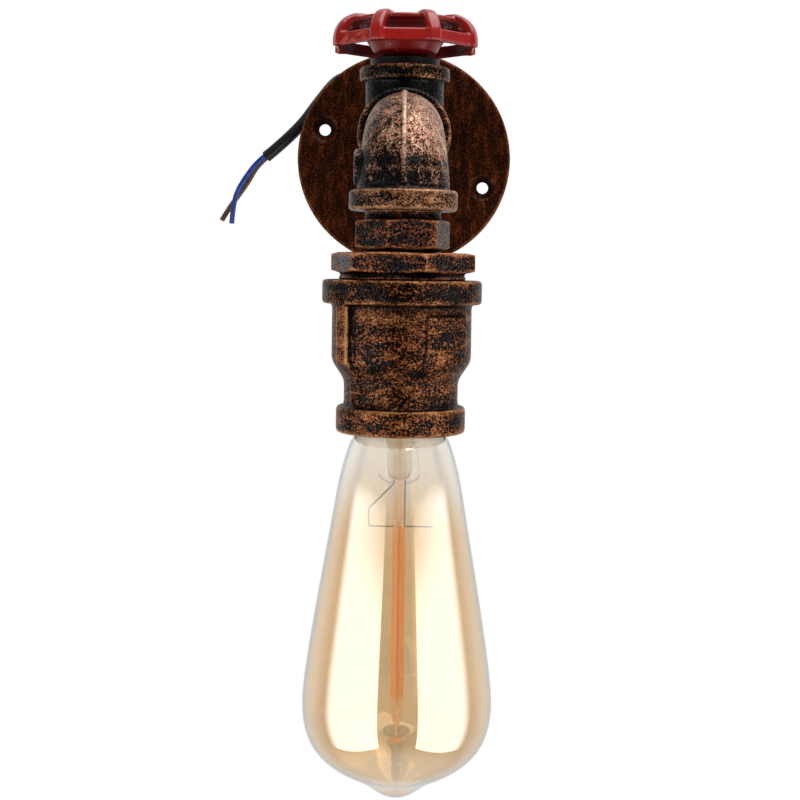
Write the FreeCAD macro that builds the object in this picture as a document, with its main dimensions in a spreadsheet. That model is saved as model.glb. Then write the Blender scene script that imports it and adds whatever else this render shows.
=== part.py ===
import FreeCAD, Part
import Sketcher
import math
import os
import re

# Pipe wall light: a wall flange, a pipe arm, a tee with a handwheel on top,
# a street elbow turning down, and a reducer that holds a screw-base bulb.
# Millimetres. The origin is the centre of the flange's back face, on the wall.
# The arm runs along -Y, away from the wall, and the lamp hangs along -Z.

doc = FreeCAD.newDocument("PipeWallLight")
sheet = doc.addObject("Spreadsheet::Sheet", "Sizes")

SIZES = [
    # Pipe threads shared by the small fittings
    ("pipe_thread", 26.4, "outside diameter of the small pipe thread"),
    ("pipe_bore", 20.9, "inside diameter of the small pipe"),
    ("thread_reach", 13.5, "length of a male thread inside its fitting"),
    ("socket_depth", 14.5, "tapped depth of a small socket"),
    ("thread_gap", 0.08, "radial clearance of a male thread in its socket"),
    ("thread_pitch", 1.8, "pitch of the small pipe thread"),
    ("thread_depth", 0.7, "depth of the small pipe thread"),
    ("fitting_bore", 23.0, "bore of the tee between its sockets"),
    ("run_clearance", 0.05, "clearance of parts that turn or slide on each other"),
    ("edge_round", 1.1, "rounding of a cast edge"),
    # Wall flange
    ("plate_diameter", 95.0, "wall plate across"),
    ("plate_thickness", 5.0, "wall plate thickness"),
    ("hub_diameter", 37.0, "boss on the wall plate"),
    ("hub_height", 14.0, "height of the boss above the plate"),
    ("hub_round", 4.0, "cast fillet at the foot of the boss"),
    ("screw_circle", 75.2, "circle through the screw holes"),
    ("screw_hole", 5.2, "screw hole across"),
    ("screw_sink", 11.4, "countersink across"),
    ("screw_turn", 70.5, "angle of the first screw hole"),
    ("screw_count", 4, "number of screw holes"),
    # Arm
    ("nipple_setback", 2.0, "wall to the near end of the wall nipple"),
    ("wall_nipple_length", 82.0, "length of the wall nipple"),
    ("tee_centre", 27.5, "centre of the tee to each face"),
    ("tee_band", 34.4, "band of the tee across"),
    ("tee_band_width", 5.6, "width of the tee's bands"),
    ("tee_body", 29.8, "body of the tee across"),
    # Street elbow
    ("elbow_leg", 48.0, "centre of the elbow to its male end"),
    ("elbow_centre", 29.3, "centre of the elbow to its socket face"),
    ("elbow_band", 37.0, "band of the elbow across"),
    ("elbow_band_width", 7.0, "width of the elbow's band"),
    ("elbow_neck", 26.0, "body of the elbow across at its male side"),
    ("elbow_throat", 31.4, "body of the elbow across at its socket side"),
    ("elbow_bend", 20.0, "radius of the bend's centre line"),
    ("elbow_bore", 20.0, "bore of the elbow"),
    ("ridge_height", 0.8, "height of the parting ridge"),
    ("ridge_width", 1.4, "width of the parting ridge"),
    ("ridge_foot", 3.4, "flare of the parting ridge where it meets the band"),
    ("pad_length", 12.5, "length of the raised pad on the elbow's side"),
    ("pad_width", 9.0, "width of the raised pad on the elbow's side"),
    ("pad_height", 1.3, "height of the raised pad on the elbow's side"),
    ("pad_rise", 1.5, "band of the elbow to the lower end of the pad"),
    # Hex nipple below the elbow
    ("nipple_gap_above", 3.0, "bare thread between elbow and hex"),
    ("nipple_gap_below", 1.0, "bare thread between hex and bushing"),
    ("nipple_hex", 28.6, "hex nipple across flats"),
    ("nipple_hex_height", 10.1, "height of the nipple's hex"),
    ("nipple_bore", 19.0, "bore of the hex nipple"),
    ("nipple_turn", 12.6, "turn of the nipple's hex"),
    ("hex_chamfer", 0.8, "height of the chamfer on a hex"),
    # Hex bushing
    ("bushing_hex", 43.6, "hex bushing across flats"),
    ("bushing_hex_height", 6.8, "height of the bushing's hex"),
    ("bushing_turn", -11.9, "turn of the bushing's hex"),
    ("bushing_gap", 2.4, "bare thread between bushing and cup"),
    ("bushing_reach", 14.3, "length of the bushing's thread inside the cup"),
    ("bushing_bore", 22.4, "bore of the bushing below its socket"),
    ("bushing_pitch", 2.3, "pitch of the bushing's thread"),
    ("bushing_thread_depth", 0.9, "depth of the bushing's thread"),
    # Reducing coupling used as the lamp cup
    ("cup_length", 51.8, "length of the cup"),
    ("cup_upper", 47.5, "upper body of the cup across"),
    ("cup_top_step", 3.4, "step of the upper band out from the upper body"),
    ("cup_top_band_width", 8.2, "width of the upper band"),
    ("cup_thread_wall", 2.05, "wall of the upper body outside the bushing's thread"),
    ("cup_wall", 3.25, "wall of the cup's chamber"),
    ("cup_lower_wall", 2.8, "wall of the cup's lower body"),
    ("cup_cone_start", 27.4, "top of the cup to the start of its taper"),
    ("cup_cone_end", 34.0, "top of the cup to the end of its taper"),
    ("cup_taper_round", 6.0, "rounding at both ends of the taper"),
    ("cup_mouth_step", 2.6, "step of the mouth band out from the lower body"),
    ("cup_mouth_band_width", 9.0, "width of the mouth band"),
    ("cup_seat_drop", 1.6, "start of the taper to the seat inside the cup"),
    ("cup_mouth_chamfer", 1.2, "chamfer at the cup's mouth"),
    ("cup_rib_angle", 14.0, "angle that a cast rib takes on the cup"),
    ("cup_rib_height", 2.2, "height of a cast rib on the upper body"),
    ("cup_rib_foot", 0.7, "height of a cast rib on the lower body"),
    ("cup_rib_turn", 212.0, "turn of the first cast rib"),
    ("cup_pad_angle", 42.0, "angle that a raised panel takes on the cup"),
    ("cup_pad_height", 1.0, "height of a raised panel"),
    ("cup_pad_turn", 291.0, "turn of the first raised panel"),
    ("cup_slot_angle", 3.0, "angle that the slot beside a raised panel takes"),
    ("cup_slot_depth", 0.8, "depth of the slot beside a raised panel"),
    # Valve spindle on the tee
    ("plug_neck", 26.2, "visible neck of the plug across"),
    ("plug_neck_height", 2.9, "height of the plug's neck above the tee"),
    ("stem_diameter", 8.0, "valve stem across"),
    ("stem_square", 6.0, "square of the stem in the wheel"),
    ("stem_thread", 5.0, "threaded ends of the stem across"),
    ("washer_thickness", 0.6, "thickness of the thrust washer"),
    ("washer_diameter", 13.0, "thrust washer across"),
    ("nut_across", 10.0, "spindle nuts across flats"),
    ("nut_height", 4.0, "height of the spindle nuts"),
    ("lower_washer_diameter", 14.0, "washer under the plug across"),
    ("lower_washer_thickness", 1.2, "thickness of the washer under the plug"),
    ("stem_tail", 1.5, "stem end beyond a nut"),
    # Handwheel, heights above its lower rim edge
    ("wheel_height", 34.4, "arm axis to the wheel's lower rim edge"),
    ("wheel_corner", 28.3, "centre to the corners of the eight-sided rim"),
    ("wheel_rim_height", 4.6, "height of the rim"),
    ("wheel_rim_inner", 24.0, "centre to the inside of the rim"),
    ("wheel_ring_outer", 21.0, "outside radius of the upper ring"),
    ("wheel_ring_inner", 17.2, "inside radius of the upper ring"),
    ("wheel_ring_low", 9.1, "underside of the upper ring"),
    ("wheel_ring_thickness", 1.9, "thickness of the upper ring"),
    ("wheel_rib_reach", 28.9, "centre to the outside of a rib"),
    ("wheel_rib_start", 15.8, "centre to the blunt inner end of a rib"),
    ("wheel_rib_top", 12.4, "top of a rib"),
    ("wheel_rib_width", 5.0, "width of a rib"),
    ("wheel_rib_blunt", 1.2, "corner of a rib at its inner end"),
    ("wheel_rib_straight", 2.0, "straight foot of a rib's outside"),
    ("wheel_rib_round", 1.3, "rounding of a rib's edges"),
    ("wheel_count", 8, "number of ribs"),
    ("wheel_hub_radius", 6.8, "radius of the wheel's hub"),
    ("wheel_hub_top", 6.4, "top of the wheel's hub"),
    ("wheel_dish_foot", 11.8, "radius of the dish's foot"),
    ("wheel_dish_foot_rise", 2.0, "hub's underside to the dish's foot"),
    ("wheel_dish_waist", 14.4, "radius of the dish's waist"),
    ("wheel_dish_waist_rise", 2.6, "lower rim edge to the dish's waist"),
    ("wheel_dish_wall", 2.6, "wall of the wheel's dish"),
    ("wheel_dish_floor", 1.0, "lower rim edge to the floor inside the dish"),
    # Lampholder inside the cup
    ("disc_thickness", 1.5, "thickness of the retaining disc"),
    ("disc_gap", 0.3, "gap of the disc and body in the cup's chamber"),
    ("rod_diameter", 10.0, "threaded tube across"),
    ("rod_bore", 7.6, "bore of the threaded tube"),
    ("rod_nut_across", 14.0, "locknut across flats"),
    ("rod_nut_height", 4.0, "height of the locknut"),
    ("rod_tail", 1.6, "threaded tube above its locknut"),
    ("holder_roof", 6.0, "thickness of the lampholder's roof"),
    ("holder_length", 29.0, "length of the lampholder's body"),
    ("holder_skirt_gap", 0.5, "gap of the lampholder's skirt in the cup's mouth"),
    ("holder_wall", 1.65, "wall of the lampholder's skirt"),
    ("shell_gap", 0.55, "gap of the screw shell in the lampholder"),
    ("shell_wall", 0.5, "sheet thickness of the screw shell"),
    ("shell_clearance", 0.3, "radial clearance of the bulb's cap in the shell"),
    ("shell_length", 21.0, "length of the screw shell"),
    ("shell_hole", 14.0, "hole in the shell's end"),
    ("contact_width", 5.0, "width of the centre contact strip"),
    ("contact_thickness", 0.5, "thickness of the centre contact strip"),
    ("contact_length", 11.0, "length of the centre contact strip"),
    ("contact_foot", 4.2, "length of its foot on the roof"),
    ("contact_touch", 0.9, "length of its end that touches the bulb"),
    ("contact_margin", 0.6, "edge of the shell's hole to the contact's foot"),
    ("contact_drop", 3.2, "roof of the cavity to the touching face of the contact"),
    # Bulb
    ("cap_thread", 26.2, "outside diameter of the bulb's screw cap"),
    ("cap_thread_depth", 1.0, "depth of the cap's thread"),
    ("cap_pitch", 3.63, "pitch of the cap's thread"),
    ("cap_turns", 5, "rings of the cap's thread"),
    ("cap_length", 25.3, "button to the cap's lower rim"),
    ("cap_wall", 0.5, "sheet thickness of the cap"),
    ("button_diameter", 9.6, "centre button across"),
    ("button_height", 1.2, "height of the centre button"),
    ("insulator_height", 1.9, "height of the black glass insulator"),
    ("insulator_diameter", 18.6, "insulator across"),
    ("glass_wall", 0.9, "wall of the bulb's glass"),
    ("glass_length", 126.9, "cap rim to the tip of the glass"),
    ("glass_spigot", 6.0, "glass neck inside the cap"),
    ("glass_neck", 25.2, "glass neck across at the cap's rim"),
    ("shoulder_diameter", 36.6, "glass across at the shoulder below the cup"),
    ("shoulder_drop", 8.8, "cap rim to the shoulder"),
    ("waist_diameter", 44.2, "glass across where its straight side starts"),
    ("waist_drop", 26.0, "cap rim to the start of the straight side"),
    ("flank_diameter", 60.4, "glass across where its straight side ends"),
    ("flank_drop", 73.4, "cap rim to the end of the straight side"),
    ("belly_diameter", 65.0, "widest part of the glass"),
    ("belly_drop", 94.2, "cap rim to the widest part"),
    ("heel_diameter", 59.0, "glass across where it turns in below the widest part"),
    ("heel_drop", 107.5, "cap rim to that turn"),
    ("base_diameter", 35.2, "glass across above its pip"),
    ("base_drop", 117.8, "cap rim to the base above the pip"),
    ("pip_root_diameter", 22.6, "glass across at the root of the pip"),
    ("pip_root_drop", 121.0, "cap rim to the root of the pip"),
    ("pip_diameter", 13.0, "glass across at the pip"),
    ("pip_drop", 124.4, "cap rim to the pip's flank"),
    ("mount_diameter", 8.5, "inner glass mount across"),
    ("mount_length", 18.0, "cap rim to the end of the inner glass mount"),
    ("mount_gap", 0.4, "gap of the mount's flare in the glass neck"),
    ("lead_wire", 0.5, "lead-in wires across"),
    ("lead_bend", 1.0, "bending radius of the lead-in wires"),
    ("lead_start", 1.9, "centre of the mount to a lead-in wire"),
    ("lead_stub", 1.2, "straight start of the slanted lead-in wire"),
    ("lead_slant", 9.8, "end of the mount to the lower end of the slant"),
    ("lead_spread", 10.4, "sideways reach of the slanted lead-in wire"),
    ("lead_tail", 11.5, "sideways reach of the straight lead-in wire's tail"),
    ("lead_level", 2.4, "top of the filaments down to where the wires meet them"),
    ("filament_diameter", 2.1, "filament rod across"),
    ("filament_length", 63.9, "length of a filament rod"),
    ("filament_spacing", 2.4, "distance between neighbouring filament rods"),
    ("filament_drop", 31.5, "cap rim to the top of the filaments"),
    ("post_diameter", 0.9, "centre wire between the filaments across"),
    ("knot_diameter", 4.8, "lower knot across"),
    ("knot_height", 1.6, "height of the lower knot"),
    ("knot_drop", 106.6, "cap rim to the top of the lower knot"),
    ("board_inset", 0.3, "step of the driver board in from the glass neck's rim"),
    ("board_height", 10.0, "driver board height"),
    ("board_thickness", 1.6, "driver board thickness"),
    # Flex and cores
    ("flex_diameter", 5.2, "black flex across"),
    ("core_diameter", 2.3, "insulated core across"),
    ("core_spacing", 2.6, "distance between the two cores"),
    ("gland_length", 12.0, "length of the gland in the wall nipple"),
    ("flex_inside", 24.0, "wall to the end of the flex inside the arm"),
]

for row, (alias, value, meaning) in enumerate(SIZES, start=1):
    sheet.set(f"A{row}", alias)
    sheet.set(f"B{row}", str(value))
    sheet.set(f"C{row}", meaning)
    sheet.setAlias(f"B{row}", alias)
doc.recompute()

FUNCTIONS = {"sqrt", "cos", "sin", "tan"}
nodes = {}


def formula(text):
    """Write a formula on the sheet's names as an expression."""
    return re.sub(r"[a-z_]+", lambda word: word.group() if word.group() in FUNCTIONS
                  else "Sizes." + word.group(), text)


def number(text):
    """Work out a formula on the sheet's names now."""
    return float(sheet.evalExpression(formula(text)))


# Places along the three axes, as formulas

# Distances from the wall, along the arm
NIPPLE_END = "(nipple_setback + wall_nipple_length)"
TEE_REACH = f"({NIPPLE_END} - thread_reach + tee_centre)"
TEE_FRONT = f"({TEE_REACH} + tee_centre)"
LAMP_REACH = f"({TEE_FRONT} - thread_reach + elbow_leg)"

# Heights on the lamp axis, measured from the arm's axis
ELBOW_FACE = "(0 - elbow_centre)"
HEX_TOP = f"({ELBOW_FACE} - nipple_gap_above)"
HEX_BOTTOM = f"({HEX_TOP} - nipple_hex_height)"
BUSHING_TOP = f"({HEX_BOTTOM} - nipple_gap_below)"
BUSHING_HEX_END = f"({BUSHING_TOP} - bushing_hex_height)"
CUP_TOP = f"({BUSHING_HEX_END} - bushing_gap)"
BUSHING_END = f"({CUP_TOP} - bushing_reach)"
CUP_MOUTH = f"({CUP_TOP} - cup_length)"
CUP_SEAT = f"({CUP_TOP} - cup_cone_start - cup_seat_drop)"
HOLDER_TOP = f"({BUSHING_END} - disc_thickness)"
HOLDER_ROOF = f"({HOLDER_TOP} - holder_roof)"
BUTTON_TOP = f"({HOLDER_ROOF} - contact_drop - run_clearance)"
CAP_RIM = f"({BUTTON_TOP} - cap_length)"

# Radii that follow from what goes inside, from the bulb's cap outwards
SHELL_INSIDE = "(cap_thread / 2 + shell_clearance)"
HOLDER_CAVITY = f"({SHELL_INSIDE} + shell_wall + shell_gap)"
HOLDER_SKIRT = f"({HOLDER_CAVITY} + holder_wall)"
MOUTH_BORE = f"({HOLDER_SKIRT} + holder_skirt_gap)"
CUP_LOWER = f"({MOUTH_BORE} + cup_lower_wall)"
CUP_CHAMBER = "(cup_upper / 2 - cup_wall)"
BUSHING_THREAD = "(cup_upper / 2 - cup_thread_wall)"
CAP_INSIDE = "(cap_thread / 2 - cap_thread_depth - cap_wall)"
GLASS_SPIGOT = f"({CAP_INSIDE} - 2 * run_clearance)"

# Heights on the valve axis, measured from the arm's axis
PLUG_TOP = "(tee_centre + plug_neck_height)"
PLUG_END = "(tee_centre - thread_reach)"
HUB_BOTTOM = f"({PLUG_TOP} + washer_thickness + run_clearance)"
HUB_TOP = "(wheel_height + wheel_hub_top)"

AXIS_REACH = {"arm": "0", "valve": TEE_REACH, "lamp": LAMP_REACH}
ALONG_ARM = FreeCAD.Rotation(FreeCAD.Vector(1, 0, 0), 90)
UPRIGHT = FreeCAD.Vector(0, 0, 1)


def put_on_axis(piece, axis, turn="0"):
    """Lay a piece drawn about its own Z onto one of the three axes."""
    if axis == "arm":
        piece.Placement = FreeCAD.Placement(FreeCAD.Vector(), ALONG_ARM)
        return
    piece.Placement = FreeCAD.Placement(FreeCAD.Vector(), FreeCAD.Rotation(UPRIGHT, number(turn)))
    piece.setExpression("Placement.Base.y", formula(f"0 - {AXIS_REACH[axis]}"))


def turned(name, axis, outline, sweep="360", turn="0"):
    """Revolve an outline of (radius, height) formulas about one of the axes."""
    body = doc.addObject("PartDesign::Body", name)
    plane = next(item for item in body.Origin.OriginFeatures if item.Role == "XZ_Plane")
    sketch = body.newObject("Sketcher::SketchObject", name + "_outline")
    sketch.AttachmentSupport = (plane, "")
    sketch.MapMode = "FlatFace"
    points = [FreeCAD.Vector(number(radius), number(height), 0) for radius, height in outline]
    following = points[1:] + points[:1]
    for start, end in zip(points, following):
        sketch.addGeometry(Part.LineSegment(start, end), False)
    for index in range(len(points)):
        sketch.addConstraint(Sketcher.Constraint("Coincident", index, 2, (index + 1) % len(points), 1))
    for index, (point, formulas) in enumerate(zip(points, outline)):
        for kind, text, now in zip(("DistanceX", "DistanceY"), formulas, (point.x, point.y)):
            spot = sketch.addConstraint(Sketcher.Constraint(kind, -1, 1, index, 1, now))
            sketch.setExpression(f"Constraints[{spot}]", formula(text))
    revolution = body.newObject("PartDesign::Revolution", name + "_turned")
    revolution.Profile = sketch
    revolution.ReferenceAxis = (sketch, ["V_Axis"])
    revolution.setExpression("Angle", formula(sweep))
    put_on_axis(body, axis, turn)
    return body


def round_rims(body, size, rims):
    """Round the circular edges that have these (radius, height) formulas."""
    doc.recompute()
    wanted = [(number(radius), number(height)) for radius, height in rims]
    found = []
    for index, edge in enumerate(body.Tip.Shape.Edges, start=1):
        curve = edge.Curve
        if not isinstance(curve, Part.Circle):
            continue
        for radius, height in wanted:
            if abs(curve.Radius - radius) < 1e-4 and abs(curve.Center.z - height) < 1e-4:
                found.append(f"Edge{index}")
    if len(found) != len(wanted):
        raise ValueError(f"{body.Name}: {len(found)} of {len(wanted)} rims found")
    base = body.Tip
    fillet = body.newObject("PartDesign::Fillet", body.Name + "_round")
    fillet.Base = (base, found)
    fillet.setExpression("Radius", formula(size))
    return body


def cut(name, base, tool):
    """Take one solid away from another."""
    result = doc.addObject("Part::Cut", name)
    result.Base = base
    result.Tool = tool
    result.Refine = False
    return result


def joined(name, pieces):
    """Fuse solids into one."""
    result = doc.addObject("Part::MultiFuse", name)
    result.Shapes = pieces
    result.Refine = False
    return result


def overlap(name, pieces):
    """Keep what several solids share."""
    result = doc.addObject("Part::MultiCommon", name)
    result.Shapes = pieces
    return result


def made(name, shape):
    """Put a shape that Part's functions made into the document."""
    feature = doc.addObject("Part::Feature", name)
    feature.Shape = shape
    return feature


def keep(name, piece):
    """Name a finished sub-part: its label names its file."""
    piece.Label = name
    nodes[name] = piece
    return piece


def thread_rings(major, depth, pitch, low, high):
    """Outline points of a ringed thread that ends a little short of its high end."""
    rings = int((number(high) - number(low)) / number(pitch) - 0.05)
    points = []
    for ring in range(rings):
        points.append((f"{major} - {depth}", f"{low} + {pitch} * {ring}"))
        points.append((major, f"{low} + {pitch} * {ring + 0.5}"))
    points.append((f"{major} - {depth}", f"{low} + {pitch} * {rings}"))
    return points


def hex_bar(name, axis, across, low, height, turn):
    """A hexagon bar with chamfered corners."""
    prism = doc.addObject("Part::Prism", name + "_prism")
    prism.Polygon = 6
    prism.setExpression("Circumradius", formula(f"{across} / sqrt(3)"))
    prism.setExpression("Height", formula(height))
    put_on_axis(prism, axis, turn)
    prism.setExpression("Placement.Base.z", formula(low))
    corner = f"{across} * 0.6"
    flat = f"{across} * 0.5"
    top = f"{low} + {height}"
    chamfer = turned(name + "_chamfer", axis, [
        ("0", low), (flat, low), (corner, f"{low} + hex_chamfer"),
        (corner, f"{top} - hex_chamfer"), (flat, top), ("0", top)])
    return overlap(name, [prism, chamfer])


def plain_bar(name, axis, radius, low, high):
    """A plain round bar between two heights."""
    return turned(name, axis, [("0", low), (radius, low), (radius, high), ("0", high)])


# Routes of flexes, cores and wires

def route(points, radius=None):
    """Straight runs joined by tangent arcs, as one wire. Returns it with its arc radii."""
    corners = []
    for before, point, after in zip(points, points[1:], points[2:]):
        back = before - point
        ahead = after - point
        turn = math.pi - back.getAngle(ahead)
        shorter = min(back.Length, ahead.Length)
        bend = radius if radius else 0.45 * shorter / math.tan(turn / 2)
        reach = bend * math.tan(turn / 2)
        back.normalize()
        ahead.normalize()
        middle = (back + ahead).normalize()
        start = point + back * reach
        end = point + ahead * reach
        crown = point + middle * (bend / math.cos(turn / 2) - bend)
        corners.append((start, crown, end, bend))
    edges = []
    last = points[0]
    for start, crown, end, bend in corners:
        edges.append(Part.LineSegment(last, start).toShape())
        edges.append(Part.Arc(start, crown, end).toShape())
        last = end
    edges.append(Part.LineSegment(last, points[-1]).toShape())
    return Part.Wire(edges), [bend for start, crown, end, bend in corners]


def tube(points, diameter, radius=None):
    """A round tube along a route, checked against its section times its length."""
    path, bends = route(points, radius)
    heading = points[1] - points[0]
    section = Part.Wire(Part.makeCircle(diameter / 2, points[0], heading))
    solid = path.makePipeShell([section], True, False)
    if solid.Volume < 0:
        solid.reverse()
    expected = math.pi * diameter ** 2 / 4 * path.Length
    if abs(solid.Volume / expected - 1) > 0.01:
        raise ValueError(f"tube volume {solid.Volume:.1f}, expected {expected:.1f}")
    return solid, path.Length, bends


# Wall flange

def make_wall_flange():
    hub_top = "plate_thickness + hub_height"
    plate = turned("flange_plate", "arm", [
        ("0", "0"), ("plate_diameter / 2", "0"), ("plate_diameter / 2", "plate_thickness"),
        ("hub_diameter / 2", "plate_thickness"), ("hub_diameter / 2", hub_top), ("0", hub_top)])
    round_rims(plate, "edge_round", [("plate_diameter / 2", "plate_thickness"),
                                     ("hub_diameter / 2", hub_top)])
    round_rims(plate, "hub_round", [("hub_diameter / 2", "plate_thickness")])
    bore = plain_bar("flange_bore", "arm", "pipe_thread / 2 + thread_gap", "0 - 1", f"{hub_top} + 1")
    sink = "(screw_sink - screw_hole) / 2"
    drill = turned("screw_drill", "arm", [
        ("0", "0 - 1"), ("screw_hole / 2", "0 - 1"),
        ("screw_hole / 2", f"plate_thickness - {sink}"),
        ("screw_sink / 2", "plate_thickness"),
        ("screw_sink / 2", "plate_thickness + 1"), ("0", "plate_thickness + 1")])
    doc.recompute()
    drills = []
    count = int(number("screw_count"))
    for hole in range(count):
        angle = math.radians(number("screw_turn") + 360 / count * hole)
        copy = drill.Shape.copy()
        circle = number("screw_circle") / 2
        copy.translate(FreeCAD.Vector(circle * math.cos(angle), 0, circle * math.sin(angle)))
        drills.append(made(f"screw_hole_{hole}", copy))
    keep("wall_flange", cut("wall_flange", plate, joined("flange_holes", [bore] + drills)))


# Pipe arm

def make_wall_nipple():
    thread = "pipe_thread / 2"
    lower = thread_rings(thread, "thread_depth", "thread_pitch", "nipple_setback",
                         "nipple_setback + thread_reach")
    upper = thread_rings(thread, "thread_depth", "thread_pitch", f"{NIPPLE_END} - thread_reach",
                         NIPPLE_END)
    upper[-1] = (f"{thread} - thread_depth", NIPPLE_END)
    outline = [("pipe_bore / 2", "nipple_setback")] + lower
    outline += [(thread, lower[-1][1]), (thread, f"{NIPPLE_END} - thread_reach")] + upper
    outline.append(("pipe_bore / 2", NIPPLE_END))
    keep("wall_nipple", turned("wall_nipple", "arm", outline))


def make_tee():
    band = "tee_band / 2"
    back = f"({TEE_REACH} - tee_centre)"
    run = turned("tee_run", "arm", [
        ("0", back), (band, back), (band, f"{back} + tee_band_width"),
        ("tee_body / 2", f"{back} + tee_band_width"),
        ("tee_body / 2", f"{TEE_FRONT} - tee_band_width"),
        (band, f"{TEE_FRONT} - tee_band_width"), (band, TEE_FRONT), ("0", TEE_FRONT)])
    round_rims(run, "edge_round", [(band, back), (band, f"{back} + tee_band_width"),
                                   (band, f"{TEE_FRONT} - tee_band_width"), (band, TEE_FRONT)])
    shoulder = "tee_centre - tee_band_width"
    branch = turned("tee_branch", "valve", [
        ("0", "0"), ("tee_body / 2", "0"), ("tee_body / 2", shoulder), (band, shoulder),
        (band, "tee_centre"), ("0", "tee_centre")])
    round_rims(branch, "edge_round", [(band, shoulder), (band, "tee_centre")])
    tapped = "pipe_thread / 2 + thread_gap"
    run_bore = turned("tee_run_bore", "arm", [
        ("0", f"{back} - 1"), (tapped, f"{back} - 1"), (tapped, f"{back} + socket_depth"),
        ("fitting_bore / 2", f"{back} + socket_depth"),
        ("fitting_bore / 2", f"{TEE_FRONT} - socket_depth"),
        (tapped, f"{TEE_FRONT} - socket_depth"), (tapped, f"{TEE_FRONT} + 1"),
        ("0", f"{TEE_FRONT} + 1")])
    branch_bore = turned("tee_branch_bore", "valve", [
        ("0", "0"), ("fitting_bore / 2", "0"), ("fitting_bore / 2", "tee_centre - socket_depth"),
        (tapped, "tee_centre - socket_depth"), (tapped, "tee_centre + 1"), ("0", "tee_centre + 1")])
    outside = joined("tee_outside", [run, branch])
    keep("tee", cut("tee", outside, joined("tee_inside", [run_bore, branch_bore])))


# Street elbow

def bend_solid(first, last, extra):
    """A quarter bend whose section grows from its male side to its socket side."""
    bend = number("elbow_bend")
    lamp = number(LAMP_REACH)
    sections = []
    steps = 6
    for step in range(steps + 1):
        share = step / steps
        angle = share * math.pi / 2
        centre = FreeCAD.Vector(0, bend - bend * math.sin(angle) - lamp, bend * math.cos(angle) - bend)
        heading = FreeCAD.Vector(0, -math.cos(angle), -math.sin(angle))
        radius = first + (last - first) * share + extra
        sections.append(Part.Wire(Part.makeCircle(radius, centre, heading)))
    return Part.makeLoft(sections, True, False)


def make_street_elbow():
    neck = "elbow_neck / 2"
    throat = "elbow_throat / 2"
    first = number(neck)
    last = number(throat)
    band_top = f"{ELBOW_FACE} + elbow_band_width"
    bend = made("elbow_bend", bend_solid(first, last, 0))
    bend_start = f"{LAMP_REACH} - elbow_bend"
    male_end = f"({LAMP_REACH} - elbow_leg)"
    thread_start = f"({TEE_FRONT} + 1.5)"
    rings = thread_rings("pipe_thread / 2", "thread_depth", "thread_pitch", male_end, thread_start)
    leg = turned("elbow_leg", "arm", [("0", male_end)] + rings + [
        ("pipe_thread / 2 - thread_depth", thread_start), (neck, f"{thread_start} + 0.6"),
        (neck, bend_start), ("0", bend_start)])
    drop = turned("elbow_drop", "lamp", [
        ("0", ELBOW_FACE), ("elbow_band / 2", ELBOW_FACE), ("elbow_band / 2", band_top),
        (throat, band_top), (throat, "0 - elbow_bend"), ("0", "0 - elbow_bend")])
    round_rims(drop, "edge_round", [("elbow_band / 2", ELBOW_FACE), ("elbow_band / 2", band_top)])

    # Parting ridge down the heel, flared where it meets the band
    height = number("ridge_height")
    width = number("ridge_width")
    foot = number("ridge_foot")
    lamp = number(LAMP_REACH)
    band_level = number(band_top)
    reach = number(throat) + height
    proud = bend_solid(first, last, height)
    drum = Part.makeCylinder(reach, -number("elbow_bend") - band_level,
                             FreeCAD.Vector(0, -lamp, band_level))
    proud = proud.fuse(drum)
    slab = Part.makeBox(width, 3 * reach, 3 * reach, FreeCAD.Vector(-width / 2, -lamp - reach, band_level))
    flare = Part.makeBox(width + 2 * foot, reach, foot,
                         FreeCAD.Vector(-width / 2 - foot, -lamp - reach, band_level))
    for side in (-1, 1):
        scoop = Part.makeCylinder(foot, 1.2 * reach, FreeCAD.Vector(
            side * (width / 2 + foot), -lamp - 1.1 * reach, band_level + foot), FreeCAD.Vector(0, 1, 0))
        flare = flare.cut(scoop)
    ridge = made("elbow_ridge", proud.common(slab.fuse(flare)))

    # Plain raised pad on the left side, in the place of the foundry mark
    level = number(f"{band_top} + pad_rise + pad_length / 2")
    pad = Part.makeCylinder(number("pad_width") / 2, last + number("pad_height"),
                            FreeCAD.Vector(0, -lamp, 0), FreeCAD.Vector(-1, 0, 0))
    rim = [edge for edge in pad.Edges if edge.BoundBox.XMax < -last]
    pad = pad.makeFillet(0.9 * number("pad_height"), rim)
    stretch = FreeCAD.Matrix()
    stretch.scale(1, 1, number("pad_length / pad_width"))
    pad = pad.transformGeometry(stretch)
    pad.translate(FreeCAD.Vector(0, 0, level))
    pad = made("elbow_pad", pad)

    # Bore: straight from the male end, a quarter bend, then the tapped socket
    bore = number("elbow_bore") / 2
    radius = number("elbow_bend")
    start = FreeCAD.Vector(0, radius - lamp, 0)
    face = Part.Face(Part.Wire(Part.makeCircle(bore, start, FreeCAD.Vector(0, 1, 0))))
    bent = face.revolve(FreeCAD.Vector(0, radius - lamp, -radius), FreeCAD.Vector(1, 0, 0), 90)
    bent_bore = made("elbow_bent_bore", bent)
    leg_bore = plain_bar("elbow_leg_bore", "arm", "elbow_bore / 2", f"{male_end} - 1", bend_start)
    tapped = "pipe_thread / 2 + thread_gap"
    socket = f"{ELBOW_FACE} + socket_depth"
    bottom = f"{ELBOW_FACE} - 1"
    drop_bore = turned("elbow_drop_bore", "lamp", [
        ("0", bottom), (tapped, bottom), (tapped, socket), ("elbow_bore / 2", f"{socket} + 2"),
        ("0", f"{socket} + 2")])
    outside = joined("elbow_outside", [bend, leg, drop, ridge, pad])
    inside = joined("elbow_inside", [bent_bore, leg_bore, drop_bore])
    keep("street_elbow", cut("street_elbow", outside, inside))


# Hex nipple and hex bushing

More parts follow.
